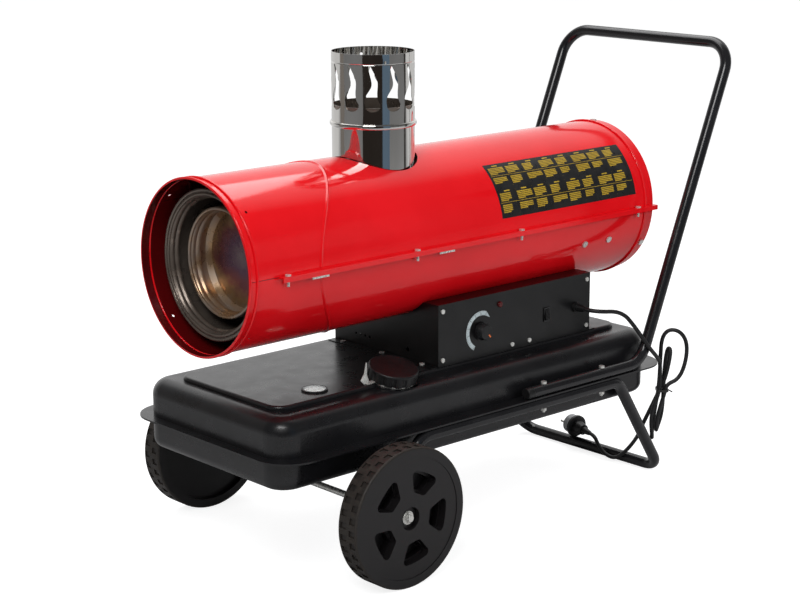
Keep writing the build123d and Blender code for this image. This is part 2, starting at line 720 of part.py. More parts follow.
switch_hole_width = switch_width - 2
switch_hole_height = switch_height - 2
with BuildPart() as control_panel:
    block(box_x, box_end_x, panel_y, panel_back_y, tank_panel_z, box_top_z)
    for x, z in panel_screw_spots:
        disc_on(facing_out(x, panel_back_y + 1, z), panel_screw_r, box_sheet + 2, mode=Mode.SUBTRACT)
    disc_on(facing_out(dial_x, panel_back_y + 1, dial_z), knob_spindle_r + 0.5, box_sheet + 2, mode=Mode.SUBTRACT)
    disc_on(facing_out(lamp_x, panel_back_y + 1, lamp_z), lamp_r - 1, box_sheet + 2, mode=Mode.SUBTRACT)
    disc_on(facing_out(gland_x, panel_back_y + 1, gland_z), gland_r - 2, box_sheet + 2, mode=Mode.SUBTRACT)
    block(switch_x - switch_hole_width / 2, switch_x + switch_hole_width / 2, panel_y - 1, panel_back_y + 1,
          switch_z - switch_hole_height / 2, switch_z + switch_hole_height / 2, mode=Mode.SUBTRACT)
finish(control_panel, "control_panel")

with BuildPart() as panel_screws:
    for x, z in panel_screw_spots:
        disc_on(facing_out(x, panel_y, z), 4.2, 2.4)
        disc_on(facing_out(x, panel_y, z), panel_screw_r, -5)
finish(panel_screws, "panel_screws")

# Printed scale round the thermostat knob.
with BuildPart() as dial_scale:
    with BuildSketch(facing_out(dial_x, panel_y, dial_z)):
        with BuildLine():
            taper_deg = dial_end_deg + 24
            outer_arc = CenterArc((0, 0), dial_outer_r, taper_deg, dial_start_deg - taper_deg)
            inner_arc = CenterArc((0, 0), dial_inner_r, taper_deg, dial_start_deg - taper_deg)
            tip_r = dial_inner_r + 2
            tip = (tip_r * cos(radians(dial_end_deg)), tip_r * sin(radians(dial_end_deg)))
            Line(outer_arc @ 1, inner_arc @ 1)
            Line(outer_arc @ 0, tip)
            Line(tip, inner_arc @ 0)
        make_face()
    extrude(amount=dial_plate)
finish(dial_scale, "dial_scale")

with BuildPart() as thermostat:
    block(dial_x - 18, dial_x + 18, panel_back_y, panel_back_y + 26, dial_z - 20, dial_z + 20)
    disc_on(facing_out(dial_x, panel_back_y + 20, dial_z), knob_spindle_r + shaft_clearance, 24, mode=Mode.SUBTRACT)
finish(thermostat, "thermostat")

with BuildPart() as knob:
    knob_plane = facing_out(dial_x, panel_y - knob_gap, dial_z)
    disc_on(knob_plane, knob_r, 5)
    with BuildSketch(knob_plane.offset(5)):
        Circle(knob_r - 1)
    with BuildSketch(knob_plane.offset(knob_height)):
        Circle(knob_r - 3)
    loft()
    fillet(faces().sort_by(Axis.Y)[0].edges(), 1.2)
    with BuildSketch(knob_plane.offset(5)):
        with PolarLocations(knob_r - 0.5, 16):
            Circle(1.6)
    extrude(amount=knob_height, mode=Mode.SUBTRACT)
    disc_on(knob_plane, knob_spindle_r, -(knob_gap + box_sheet + 16))
finish(knob, "knob")

with BuildPart() as lamp:
    disc_on(facing_out(lamp_x, panel_y, lamp_z), lamp_r, lamp_height)
    fillet(faces().sort_by(Axis.Y)[0].edges(), 2)
    disc_on(facing_out(lamp_x, panel_y, lamp_z), lamp_r - 1.2, -22)
finish(lamp, "lamp")

rocker_clear = 0.4
rocker_width = switch_width - 4
rocker_height = switch_height - 5
with BuildPart() as switch_housing:
    block(switch_x - switch_width / 2, switch_x + switch_width / 2, panel_y - switch_bezel, panel_y,
          switch_z - switch_height / 2, switch_z + switch_height / 2)
    block(switch_x - switch_hole_width / 2 + 0.2, switch_x + switch_hole_width / 2 - 0.2, panel_y,
          panel_y + switch_depth, switch_z - switch_hole_height / 2 + 0.2, switch_z + switch_hole_height / 2 - 0.2)
    block(switch_x - rocker_width / 2, switch_x + rocker_width / 2, panel_y - switch_bezel - 1, panel_y + 8,
          switch_z - rocker_height / 2, switch_z + rocker_height / 2, mode=Mode.SUBTRACT)
finish(switch_housing, "switch_housing")

with BuildPart() as rocker:
    tilt = radians(rocker_tilt_deg)
    rocker_pivot = (switch_x, panel_y - 0.5, switch_z)
    rocker_plane = Plane(rocker_pivot, x_dir=(1, 0, 0), z_dir=(0, -cos(tilt), sin(tilt)))
    with BuildSketch(rocker_plane.offset(-2.5)):
        Rectangle(rocker_width - 2 * rocker_clear, rocker_height - 2 * rocker_clear - 0.8)
    extrude(amount=6)
    fillet(edges().filter_by(Axis.X), 0.8)
finish(rocker, "rocker")

# Cord gland with a tapered strain relief.
gland_tip_y = panel_y - gland_nut_length - relief_length
with BuildPart() as cord_gland:
    with BuildSketch(facing_out(gland_x, panel_y, gland_z)):
        Circle(gland_r)
    extrude(amount=gland_nut_length)
    with BuildSketch(facing_out(gland_x, panel_y - gland_nut_length, gland_z)):
        Circle(gland_r - 2)
    with BuildSketch(facing_out(gland_x, gland_tip_y, gland_z)):
        Circle(relief_tip_r)
    loft()
    disc_on(facing_out(gland_x, panel_y, gland_z), gland_r - 2.2, -14)
finish(cord_gland, "cord_gland")

with BuildPart() as ignition_transformer:
    block(box_x + 232, box_x + 312, box_half_width - 90, box_half_width - 30, tank_panel_z, tank_panel_z + 52)
    for y_shift in (-78, -42):
        disc_on(Plane((box_x + 272, box_half_width + y_shift, tank_panel_z + 52)), 8, 10)
finish(ignition_transformer, "ignition_transformer")

with BuildPart() as fuel_line:
    disc_on(Plane((pump_mid_x, 0, tank_bottom_z + 14)), fuel_line_r,
            casing_axis_z - pump_r + 0.5 - tank_bottom_z - 14)
    disc_on(across_x(motor_x - pump_length - 1), pump_r + 0.1, pump_length + 2, mode=Mode.SUBTRACT)
finish(fuel_line, "fuel_line")

# ================================================================ fuel tank
def flange_sheet(z):
    """One flange sheet all round the tank, narrower at the front than at the sides and rear."""
    with BuildSketch(Plane.XY.offset(z)) as outline:
        with Locations((tank_mid_x + (flange_rear_reach - flange_front_reach) / 2, 0)):
            RectangleRounded(tank_length + flange_front_reach + flange_rear_reach,
                             2 * (tank_half_width + flange_side_reach), flange_corner_r)
    extrude(outline.sketch, amount=tank_sheet)


def upper_pan(inset):
    """Upper half of the tank without its flange, inset inwards."""
    with BuildSketch(Plane.XY.offset(tank_seam_z)) as outline:
        with Locations((tank_mid_x, 0)):
            RectangleRounded(tank_length - 2 * inset, 2 * (tank_half_width - inset), tank_corner_r - inset)
    extrude(outline.sketch, amount=tank_ledge_z - inset - tank_seam_z)
    fillet(faces().sort_by(Axis.Z)[-1].edges(), tank_shoulder_r - inset)
    with BuildSketch(Plane.XY.offset(tank_ledge_z - inset - 6)) as raised:
        with Locations((tank_mid_x, 0)):
            RectangleRounded(tank_length - 2 * (panel_inset_end + inset), 2 * (panel_half_width - inset),
                             panel_corner_r)
    extrude(raised.sketch, amount=tank_panel_z - tank_ledge_z + 6)
    fillet(faces().sort_by(Axis.Z)[-1].edges(), panel_edge_r)


def lower_pan(inset):
    """Lower half of the tank without its flange, inset inwards."""
    with BuildSketch(Plane.XY.offset(tank_bottom_z + inset)) as outline:
        with Locations((tank_mid_x, 0)):
            RectangleRounded(tank_length - 2 * inset, 2 * (tank_half_width - inset), tank_corner_r - inset)
    extrude(outline.sketch, amount=tank_seam_z - tank_bottom_z - inset)
    fillet(faces().sort_by(Axis.Z)[0].edges(), tank_heel_r - inset)


cap_x = axle_x + cap_from_axle
cap_tilt = radians(cap_tilt_deg)
cap_axis_dir = (0, -sin(cap_tilt), cos(cap_tilt))
cap_seat = Plane((cap_x, cap_y, cap_seat_z), x_dir=(1, 0, 0), z_dir=cap_axis_dir)
gauge_x = axle_x + gauge_from_axle
gauge_top = Plane((gauge_x, gauge_y, tank_panel_z))
bolt_spots = [(axle_x + reach, side * side_y) for reach in bolt_from_axle for side in (-1, 1)]

with BuildPart() as tank_upper_space:
    upper_pan(tank_sheet)

with BuildPart() as tank_lower_space:
    lower_pan(tank_sheet)

with BuildPart() as tank_upper:
    upper_pan(0)
    flange_sheet(tank_seam_z)
    disc_on(cap_seat, boss_r + 1, 20, mode=Mode.SUBTRACT)
    disc_on(cap_seat.offset(-30), boss_r, 30)
    add(tank_upper_space.part, mode=Mode.SUBTRACT)
    disc_on(cap_seat.offset(-34), boss_r - tank_sheet, 34 - tank_sheet, mode=Mode.SUBTRACT)
    disc_on(cap_seat.offset(-10), neck_r + 0.2, 20, mode=Mode.SUBTRACT)
    disc_on(gauge_top.offset(-10), gauge_well_r + 0.2, 20, mode=Mode.SUBTRACT)
    disc_on(Plane((pump_mid_x, 0, tank_panel_z - 10)), fuel_line_r, 20, mode=Mode.SUBTRACT)
    for x, y in bolt_spots:
        disc_on(Plane((x, y, tank_seam_z - 4)), bolt_r + bolt_clearance, 8, mode=Mode.SUBTRACT)
finish(tank_upper, "tank_upper")

with BuildPart() as tank_lower:
    lower_pan(0)
    flange_sheet(tank_under_z)
    add(tank_lower_space.part, mode=Mode.SUBTRACT)
    for x, y in bolt_spots:
        disc_on(Plane((x, y, tank_under_z - 4)), bolt_r + bolt_clearance, 8, mode=Mode.SUBTRACT)
finish(tank_lower, "tank_lower")

with BuildPart() as filler_neck:
    ring_on(cap_seat.offset(-24), neck_r, neck_r - neck_wall, 24 + neck_height)
    ring_on(cap_seat, neck_r + 4, neck_r - neck_wall, 1.5)
finish(filler_neck, "filler_neck")

cap_lift = 3.0
with BuildPart() as filler_cap:
    disc_on(cap_seat.offset(cap_lift), cap_r, cap_height - cap_lift)
    fillet(faces().filter_by(GeomType.PLANE).sort_by(Axis.Z)[-1].edges(), 3)
    with BuildSketch(cap_seat.offset(cap_lift)):
        with PolarLocations(cap_r + 2.2, cap_flutes):
            Circle(5)
    extrude(amount=cap_height - cap_lift - 5, mode=Mode.SUBTRACT)
    disc_on(cap_seat.offset(cap_lift), neck_r + thread_gap, neck_height + 0.8 - cap_lift,
            mode=Mode.SUBTRACT)
finish(filler_cap, "filler_cap")

# Flat tether ring under the cap with an upright lug beside it.
with BuildPart() as cap_tether:
    ring_on(cap_seat, neck_r + 10, neck_r + 4.5, 2.6)
    with BuildSketch(cap_seat.offset(1.4)):
        with Locations((-(neck_r + 18), 0)):
            Rectangle(24, 9)
        Circle(neck_r + 6, mode=Mode.SUBTRACT)
    extrude(amount=1.2)
    with BuildSketch(Plane((cap_x - neck_r - 31, cap_y, cap_seat_z + 1.4), x_dir=(1, 0, 0), z_dir=(0, -1, 0))):
        with BuildLine():
            Polyline((-11, 8), (-3, 18), (2, 38), (4, 38), (3.5, 17), (9, 2), (-3, -0.5), (-11, 8))
        make_face()
    extrude(amount=1.2)
finish(cap_tether, "cap_tether")

# Fuel gauge: window with a float that rides on a rod.
with BuildPart() as gauge_bezel:
    ring_on(gauge_top, gauge_bezel_r, gauge_well_r - gauge_wall, gauge_bezel_height - gauge_lens)
    ring_on(gauge_top.offset(gauge_bezel_height - gauge_lens), gauge_bezel_r, gauge_well_r, gauge_lens)
    ring_on(gauge_top.offset(-gauge_well_depth), gauge_well_r, gauge_well_r - gauge_wall, gauge_well_depth)
    ring_on(gauge_top.offset(-gauge_well_depth), gauge_well_r, float_rod_r + 0.4, gauge_wall)
finish(gauge_bezel, "gauge_bezel")

with BuildPart() as gauge_lens_disc:
    disc_on(gauge_top.offset(gauge_bezel_height - gauge_lens), gauge_well_r, gauge_lens)
finish(gauge_lens_disc, "gauge_lens")

with BuildPart() as gauge_float:
    disc_on(gauge_top.offset(-2.5), gauge_disc_r, 2)
    disc_on(Plane((gauge_x, gauge_y, float_rest_z + float_height)), float_rod_r,
            tank_panel_z - 2.5 - float_rest_z - float_height)
    disc_on(Plane((gauge_x, gauge_y, float_rest_z + 18)), float_r, float_height)
finish(gauge_float, "gauge_float")

# ================================================================ frame and handle tubes
def bent_tube(points, radii):
    """A round tube along straight runs joined by bends."""
    with BuildLine() as route:
        FilletPolyline(*points, radius=radii)
    path = route.wire()
    with BuildSketch(Plane(path @ 0, z_dir=path % 0)) as section:
        Circle(tube_r)
        Circle(tube_r - tube_wall, mode=Mode.SUBTRACT)
    sweep(section.sketch, path=path)


front_rise = frame_run_z - axle_z
front_run = frame_front_bend
end_scale = frame_end_overrun / hypot(front_rise, front_run)
frame_side = [(axle_x - end_scale * front_run, side_y, axle_z - end_scale * front_rise),
              (axle_x + frame_front_bend, side_y, frame_run_z),
              (axle_x + frame_rear_bend, side_y, frame_run_z),
              (axle_x + foot_bar_reach, foot_bar_half, tube_r)]
frame_points = [(x, -y, z) for x, y, z in frame_side] + frame_side[::-1]
with BuildPart() as frame_tube:
    bent_tube(frame_points, [frame_bend_r] * (len(frame_points) - 2))
    with Locations((axle_x, 0, axle_z)):
        Cylinder(axle_r, 2 * wheel_outer_y, rotation=(90, 0, 0), mode=Mode.SUBTRACT)
    for x, y in bolt_spots:
        disc_on(Plane((x, y, frame_run_z - 20)), bolt_r + bolt_clearance, 40, mode=Mode.SUBTRACT)
finish(frame_tube, "frame_tube")

handle_side = [(axle_x + handle_start, side_y, handle_run_z),
               (axle_x + handle_foot, side_y, handle_run_z),
               (axle_x + handle_top_reach, side_y, handle_top_z)]
handle_points = [(x, -y, z) for x, y, z in handle_side] + handle_side[::-1]
with BuildPart() as handle_tube:
    bent_tube(handle_points, [handle_bend_r] * (len(handle_points) - 2))
    for x, y in bolt_spots:
        disc_on(Plane((x, y, handle_run_z - 20)), bolt_r + bolt_clearance, 40, mode=Mode.SUBTRACT)
finish(handle_tube, "handle_tube")

with BuildPart() as handle_end_caps:
    for side in (-1, 1):
        end_plane = Plane((axle_x + handle_start, side * side_y, handle_run_z), z_dir=(-1, 0, 0))
        disc_on(end_plane, tube_r, end_cap_length)
        disc_on(end_plane, tube_r - tube_wall - 0.1, -12)
    fillet(edges().filter_by(GeomType.CIRCLE).group_by(Axis.X)[0], 2)
finish(handle_end_caps, "handle_end_caps")

bolt_top_z = handle_run_z + tube_r
bolt_bottom_z = frame_run_z - tube_r
with BuildPart() as frame_bolts:
    for x, y in bolt_spots:
        disc_on(Plane((x, y, bolt_bottom_z - nut_height - 3)), bolt_r,
                bolt_top_z - bolt_bottom_z + nut_height + 3)
        disc_on(Plane((x, y, bolt_top_z)), bolt_head_r, bolt_head_height)
finish(frame_bolts, "frame_bolts")

with BuildPart() as frame_nuts:
    for x, y in bolt_spots:
        with BuildSketch(Plane((x, y, bolt_bottom_z - nut_height))):
            RegularPolygon(nut_af / sqrt(3), 6)
            Circle(bolt_r, mode=Mode.SUBTRACT)
        extrude(amount=nut_height)
finish(frame_nuts, "frame_nuts")

# ================================================================ axle and wheels
hub_face_y = wheel_outer_y - hub_recess_depth
wheel_inner_y = wheel_outer_y - wheel_width
wheel_side_gap = 0.4
axle_end_y = hub_face_y + wheel_side_gap + washer_t + 8
split_pin_y = hub_face_y + wheel_side_gap + washer_t + 2.6
with BuildPart() as axle:
    with Locations((axle_x, 0, axle_z)):
        Cylinder(axle_r, 2 * axle_end_y, rotation=(90, 0, 0))
    fillet(edges().group_by(Axis.Y)[0] + edges().group_by(Axis.Y)[-1], 1)
    for side in (-1, 1):
        with Locations((axle_x, side * split_pin_y, axle_z)):
            Cylinder(split_pin_r, 3 * axle_r, mode=Mode.SUBTRACT)
finish(axle, "axle")

with BuildPart() as axle_spacers:
    for side in (-1, 1):
        ring_on(Plane((axle_x, side * (side_y + tube_r), axle_z), z_dir=(0, side, 0)), axle_r + 3, axle_r,
                wheel_inner_y - side_y - tube_r - wheel_side_gap)
finish(axle_spacers, "axle_spacers")

with BuildPart() as axle_washers:
    for side in (-1, 1):
        ring_on(Plane((axle_x, side * (hub_face_y + wheel_side_gap), axle_z), z_dir=(0, side, 0)), washer_r, axle_r,
                washer_t)
finish(axle_washers, "axle_washers")

with BuildPart() as split_pins:
    for side in (-1, 1):
        disc_on(Plane((axle_x, side * split_pin_y, axle_z - 9)), split_pin_r, 18)
        disc_on(Plane((axle_x, side * split_pin_y, axle_z + 7.5)), split_pin_r + 1, 3.5)
finish(split_pins, "split_pins")

for side, wheel_name in ((-1, "wheel_near"), (1, "wheel_far")):
    outer = Plane((axle_x, side * wheel_outer_y, axle_z), x_dir=(1, 0, 0), z_dir=(0, side, 0))
    with BuildPart() as wheel:
        disc_on(outer, wheel_r, -wheel_width)
        fillet(edges().filter_by(GeomType.CIRCLE), wheel_edge_r)
        disc_on(outer.offset(-wheel_web_setback), wheel_r - wheel_band, 10, mode=Mode.SUBTRACT)
        ring_on(outer.offset(-wheel_width - 1), wheel_r - wheel_band, hub_boss_r, 11, mode=Mode.SUBTRACT)
        disc_on(outer.offset(-hub_recess_depth), hub_recess_r, 20, mode=Mode.SUBTRACT)
        for depth, inset in ((pocket_depth, 0), (pocket_core_depth, pocket_core_inset)):
            low_r = pocket_inner_r + inset
            high_r = pocket_outer_r - pocket_bulge - inset
            low_half = low_r * sin(pi / spoke_count) - spoke_width / 2 - inset * 0.4
            high_half = high_r * sin(pi / spoke_count) - spoke_width / 2 - inset * 0.4
            corners = ((high_r, high_half), (low_r, low_half), (low_r, -low_half), (high_r, -high_half),
                       (high_r + pocket_bulge, 0))
            with BuildSketch(outer.offset(-depth - wheel_web_setback)):
                for index in range(spoke_count):
                    turn = radians(side * pocket_turn_deg + index * 360 / spoke_count)
                    placed = [(r * cos(turn) - w * sin(turn), r * sin(turn) + w * cos(turn)) for r, w in corners]
                    with BuildLine():
                        Polyline(*placed[:4])
                        ThreePointArc(placed[3], placed[4], placed[0])
                    make_face()
                fillet(vertices(), pocket_corner_r - inset * 0.6)
            extrude(amount=depth + 5, mode=Mode.SUBTRACT)
        for row in range(2):
            row_y = side * (wheel_outer_y - tread_row_inset - row * tread_row_gap)
            for index in range(tread_count):
                turn = 360 * (index + row / 2) / tread_count
                spot = (axle_x + wheel_r * sin(radians(turn)), row_y, axle_z + wheel_r * cos(radians(turn)))
                with Locations(Location(spot, (0, turn, 0))):
                    Box(tread_length, tread_width, 2 * tread_depth, mode=Mode.SUBTRACT)
        disc_on(outer.offset(-wheel_width - 1), axle_r + shaft_clearance, wheel_width + 2, mode=Mode.SUBTRACT)
    finish(wheel, wheel_name)

# ================================================================ mains cord
# The cord leaves the gland, crosses outside the handle tube, hangs behind the tank as a tied
# hank and ends in a plug that lies on the foot bar.
view_turn = radians(view_turn_deg)
hank_tie = Vector(axle_x + tie_from_axle, tie_y, tie_z)
hank_right = Vector(cos(view_turn), -sin(view_turn), 0)
hank_deep = Vector(sin(view_turn), cos(view_turn), 0)


def hank_point(right, up, deep):
    """A point of the hank, measured from the tie."""
    return hank_tie + hank_right * right + hank_deep * deep + Vector(0, 0, up)


def from_axle(x, y, z):
    """A point given from the axle along X, and from the middle and the ground."""
    return Vector(axle_x + x, y, z)


def corner_radii(points, share=0.45):
    """The largest even bend at each corner: share of the shorter run over the tangent of half the turn."""
    radii = []
    for before, corner, after in zip(points, points[1:], points[2:]):
        first = corner - before
        second = after - corner
        half_turn = radians(first.get_angle(second)) / 2
        radii.append(share * min(first.length, second.length) / tan(half_turn))
    return radii


def cord_tube(points, radii):
    """A round cord along straight runs joined by tangent bends, returned with its length."""
    with BuildLine() as route:
        FilletPolyline(*points, radius=radii)
    path = route.wire()
    with BuildSketch(Plane(path @ 0, z_dir=path % 0)) as section:
        Circle(cord_r)
    sweep(section.sketch, path=path)
    return path


column = hank_layer / 2 + 0.2
row = hank_layer
hank_start = hank_point(-column - 0.9, hank_ends, -row - 0.1)
# Corners of the hank: (right, up, deep) from the tie, and the bend's radius where it is a tight fold.
hank_corners = (
    (-column, -4, -row, 0),
    (-22.5, -55, -row - 0.5, 0),
    (-17.3, hank_bottoms[0], -row, hank_fold_r),
    (-16.8, hank_bottoms[0], row, hank_fold_r),
    (-12.5, -55, row + 0.5, 0),
    (-column, 0, row, 0),
    (-3.4, 56, row + 0.2, 0),
    (-2.5, big_loop_top - 14, row - 1, 0),
    (12, big_loop_top + 4, 6, 0),
    (35, big_loop_top - 1, 2, 0),
    (47.5, big_loop_top - 24, -2, 0),
    (45, big_loop_top - 62, -5, 0),
    (32, 19, -8, 0),
    (8.4, 8.5, -row, 0),
    (column + 0.2, -8, -row, 0),
    (-8.0, -55, -row - 0.4, 0),
    (-10.5, hank_bottoms[1], -row, hank_fold_r),
    (-6.5, hank_bottoms[1], row, hank_fold_r),
    (3.5, -55, row + 0.4, 0),
    (column, 0, row, 0),
    (5.4, 40, row + 0.8, 0),
    (9.6, tight_fold_top, row + 0.8, hank_fold_r - 0.6),
    (15.6, tight_fold_top, -5.2, hank_fold_r - 0.6),
    (10.0, 38, -3, 0),
    (3, 10, 0, 0),
    (-5.2, -7, 0, 0),
)
hank_finish = hank_point(-20.0, -41, 0.8)
hank_points = [hank_start] + [hank_point(*corner[:3]) for corner in hank_corners] + [hank_finish]
hank_radii = [fold or even for fold, even in zip((c[3] for c in hank_corners), corner_radii(hank_points, 0.4))]
with BuildPart() as cord_hank:
    hank_path = cord_tube(hank_points, hank_radii)
finish(cord_hank, "cord_hank")

gland_tip = Vector(gland_x, gland_tip_y, gland_z)
lead_points = [gland_tip, gland_tip - Vector(0, 29, 0), from_axle(638, -208, 363), from_axle(664, -222, 327.5),
               from_axle(686, -235.5, 289), from_axle(728, -228, 255)]
lead_points += [hank_start + (hank_start - hank_points[1]).normalized() * 20, hank_start]
lead_radii = corner_radii(lead_points)
with BuildPart() as cord_lead:
    lead_path = cord_tube(lead_points, lead_radii)
finish(cord_lead, "cord_lead")

plug_spot = Vector(axle_x + foot_bar_reach, plug_y, 2 * tube_r + plug_r + 1)
plug_dir = Vector(-sin(radians(plug_turn_deg)), -cos(radians(plug_turn_deg)), -sin(radians(plug_dip_deg)))
plug_dir = plug_dir.normalized()
plug_plane = Plane(plug_spot, x_dir=Vector(0, 0, 1).cross(plug_dir), z_dir=plug_dir)
plug_tip = plug_spot + plug_dir * (plug_disc_length + plug_grip_length + plug_relief_length)
tail_points = [hank_finish, hank_finish + (hank_finish - hank_points[-2]).normalized() * 42,
               from_axle(763, -148, 67), from_axle(767.5, -112, 26), from_axle(767.5, -86, 7),
               from_axle(767, -59, 10.5), from_axle(768, -39, 26), plug_tip + plug_dir * 17, plug_tip]
tail_radii = corner_radii(tail_points)
with BuildPart() as cord_tail:
    tail_path = cord_tube(tail_points, tail_radii)
finish(cord_tail, "cord_tail")

# Wire tie round the waist of the hank, with its twisted end.
tie_plane = Plane(hank_point(0, -4.5 - tie_width / 2, 0), x_dir=hank_right, z_dir=(0, 0, 1))
with BuildPart() as cord_tie:
    with BuildSketch(tie_plane):
        tie_half_width = column + cord_r + 2.35
        tie_half_depth = row + cord_r + 0.6
        RectangleRounded(2 * tie_half_width + 2, 2 * tie_half_depth + 2, 5)
        RectangleRounded(2 * tie_half_width, 2 * tie_half_depth, 4, mode=Mode.SUBTRACT)
    extrude(amount=tie_width)
    with BuildSketch(Plane(hank_point(tie_half_width + 0.5, -4.5, 0), z_dir=hank_right - Vector(0, 0, 0.6))):
        Circle(1.3)
    extrude(amount=11)
finish(cord_tie, "cord_tie")

# Round plug: face, flange, grip and tapered strain relief along one axis.
with BuildPart() as plug_body:
    disc_on(plug_plane, plug_r, plug_disc_length)
    fillet(edges().filter_by(GeomType.CIRCLE), 2)
    with BuildSketch(plug_plane.offset(plug_disc_length)):
        Circle(plug_grip_r + 2.5)
    with BuildSketch(plug_plane.offset(plug_disc_length + plug_grip_length)):
        Circle(plug_grip_r - 1)
    loft()
    with BuildSketch(plug_plane.offset(plug_disc_length + plug_grip_length)):
        Circle(plug_grip_r - 4)
    with BuildSketch(plug_plane.offset(plug_disc_length + plug_grip_length + plug_relief_length)):
        Circle(cord_r + 1)
    loft()
finish(plug_body, "plug_body")

with BuildPart() as plug_face:
    disc_on(plug_plane, plug_face_r, -plug_face_length)
    for side in (-1, 1):
        pin_plane = plug_plane.offset(1)
        disc_on(pin_plane.shift_origin(pin_plane.from_local_coords((side * pin_spacing / 2, 0, 0))),
                pin_r, -plug_face_length - 2, mode=Mode.SUBTRACT)
finish(plug_face, "plug_face")

with BuildPart() as plug_pins:
    for side in (-1, 1):
        pin_foot = plug_plane.from_local_coords((side * pin_spacing / 2, 0, 0))
        disc_on(Plane(pin_foot, z_dir=plug_dir), pin_r, -plug_face_length - pin_length)
finish(plug_pins, "plug_pins")

for label, path, radii, piece in (("lead", lead_path, lead_radii, cord_lead),
                                  ("hank", hank_path, hank_radii, cord_hank),
                                  ("tail", tail_path, tail_radii, cord_tail)):
    section_volume = pi * cord_r ** 2 * path.length
    print(label, "length", round(path.length, 1), "volume share", round(piece.part.volume / section_volume, 4))
    print("  radii", [round(radius, 1) for radius in radii])
steps = int(hank_path.length / 1.5)
trail = [hank_path @ (step / steps) for step in range(steps + 1)]
apart = int(6 * cord_r / 1.5)
least = min((trail[a] - trail[b]).length for a in range(steps + 1) for b in range(a + apart, steps + 1))
print("least gap of the hank to itself", round(least - 2 * cord_r, 2))

# ================================================================ write the pieces
os.makedirs("parts", exist_ok=True)
for piece in nodes:
    export_step(piece, "parts/" + piece.label + ".step")
print(len(nodes), "pieces")
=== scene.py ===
import bpy
import json
from math import cos, pi, radians, sin
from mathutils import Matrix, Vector


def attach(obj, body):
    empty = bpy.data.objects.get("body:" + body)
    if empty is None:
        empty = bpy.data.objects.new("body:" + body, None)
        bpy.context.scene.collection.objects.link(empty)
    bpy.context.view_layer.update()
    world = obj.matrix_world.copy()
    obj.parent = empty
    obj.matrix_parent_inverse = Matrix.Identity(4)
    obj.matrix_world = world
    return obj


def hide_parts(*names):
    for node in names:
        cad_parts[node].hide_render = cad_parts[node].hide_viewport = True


# Indirect-fired forced air heater on a barrow frame. Metres, in the frame of the CAD model.
# MM turns the millimetres of part.py into metres.
MM = 0.001
AXLE_X = -363.9242
CASING_Z = 544.0
CASING_R = 152.0
PANEL_Y = -143.3
RIM_X = AXLE_X - 218.5

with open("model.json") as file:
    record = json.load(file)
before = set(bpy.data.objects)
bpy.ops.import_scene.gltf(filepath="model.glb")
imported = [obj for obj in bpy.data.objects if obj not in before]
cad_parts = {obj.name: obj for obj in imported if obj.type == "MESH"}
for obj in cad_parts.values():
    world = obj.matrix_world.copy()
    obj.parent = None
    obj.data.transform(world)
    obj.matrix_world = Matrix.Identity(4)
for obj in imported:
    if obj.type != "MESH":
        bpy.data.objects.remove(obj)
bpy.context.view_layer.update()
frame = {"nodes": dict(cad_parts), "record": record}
nodes = frame["nodes"]
scene = bpy.context.scene


# ================================================================ camera
camera_data = bpy.data.cameras.new("camera")
camera_data.lens = 86.06
camera_data.sensor_width = 36
camera_data.clip_end = 100
camera = bpy.data.objects.new("camera", camera_data)
camera.location = (-2.4382, -2.5588, 1.2481)
camera.rotation_euler = (radians(76.4055), radians(0.1605), radians(-42.3035))
scene.collection.objects.link(camera)
scene.camera = camera


# ================================================================ helpers
def rgb(code):
    """An sRGB colour such as C8102E as a linear colour."""
    parts = [int(code[i:i + 2], 16) / 255 for i in (0, 2, 4)]
    return [c / 12.92 if c <= 0.04045 else ((c + 0.055) / 1.055) ** 2.4 for c in parts] + [1.0]


def add(tree, kind, links=(), **settings):
    """Adds a shader node, with its properties and socket values, and links outputs into its sockets."""
    made = tree.nodes.new(kind)
    for key, value in settings.items():
        if key in made.bl_rna.properties:
            setattr(made, key, value)
    for key, value in settings.items():
        if key not in made.bl_rna.properties:
            made.inputs[key.replace("_", " ")].default_value = value
    for socket, source in links:
        tree.links.new(source, made.inputs[socket])
    return made


def surface(name, **settings):
    """A new material with a Principled surface. Returns the material, its tree and the shader node."""
    material = bpy.data.materials.new(name)
    material.use_nodes = True
    tree = material.node_tree
    tree.nodes.clear()
    shader = add(tree, "ShaderNodeBsdfPrincipled", **settings)
    add(tree, "ShaderNodeOutputMaterial", [("Surface", shader.outputs[0])])
    return material, tree, shader


def place(tree, scale=(1, 1, 1)):
    """Object coordinates, stretched by scale."""
    coords = add(tree, "ShaderNodeTexCoord")
    return add(tree, "ShaderNodeMapping", [("Vector", coords.outputs["Object"])], Scale=scale).outputs[0]


def grain(tree, where, size_mm, detail=2.0, roughness=0.5):
    """Noise whose features are size_mm across."""
    return add(tree, "ShaderNodeTexNoise", [("Vector", where)], Scale=1000 / size_mm, Detail=detail,
               Roughness=roughness).outputs[0]


def ramp(tree, source, stops):
    """A colour ramp; stops are (place, colour)."""
    made = add(tree, "ShaderNodeValToRGB", [(0, source)])
    for index, (spot, colour) in enumerate(stops):
        stop = made.color_ramp.elements[index] if index < 2 else made.color_ramp.elements.new(spot)
        stop.position = spot
        stop.color = colour
    return made.outputs[0]


def span(tree, source, low, high, from_low=0.35, from_high=0.65):
    """Maps a value onto low to high."""
    return add(tree, "ShaderNodeMapRange", [(0, source)], From_Min=from_low, From_Max=from_high, To_Min=low,
               To_Max=high).outputs[0]


def bump(tree, shader, height, depth_mm, strength=1.0):
    """Joins a height to the shader's normal."""
    made = add(tree, "ShaderNodeBump", [("Height", height)], Distance=depth_mm * MM, Strength=strength)
    tree.links.new(made.outputs[0], shader.inputs["Normal"])


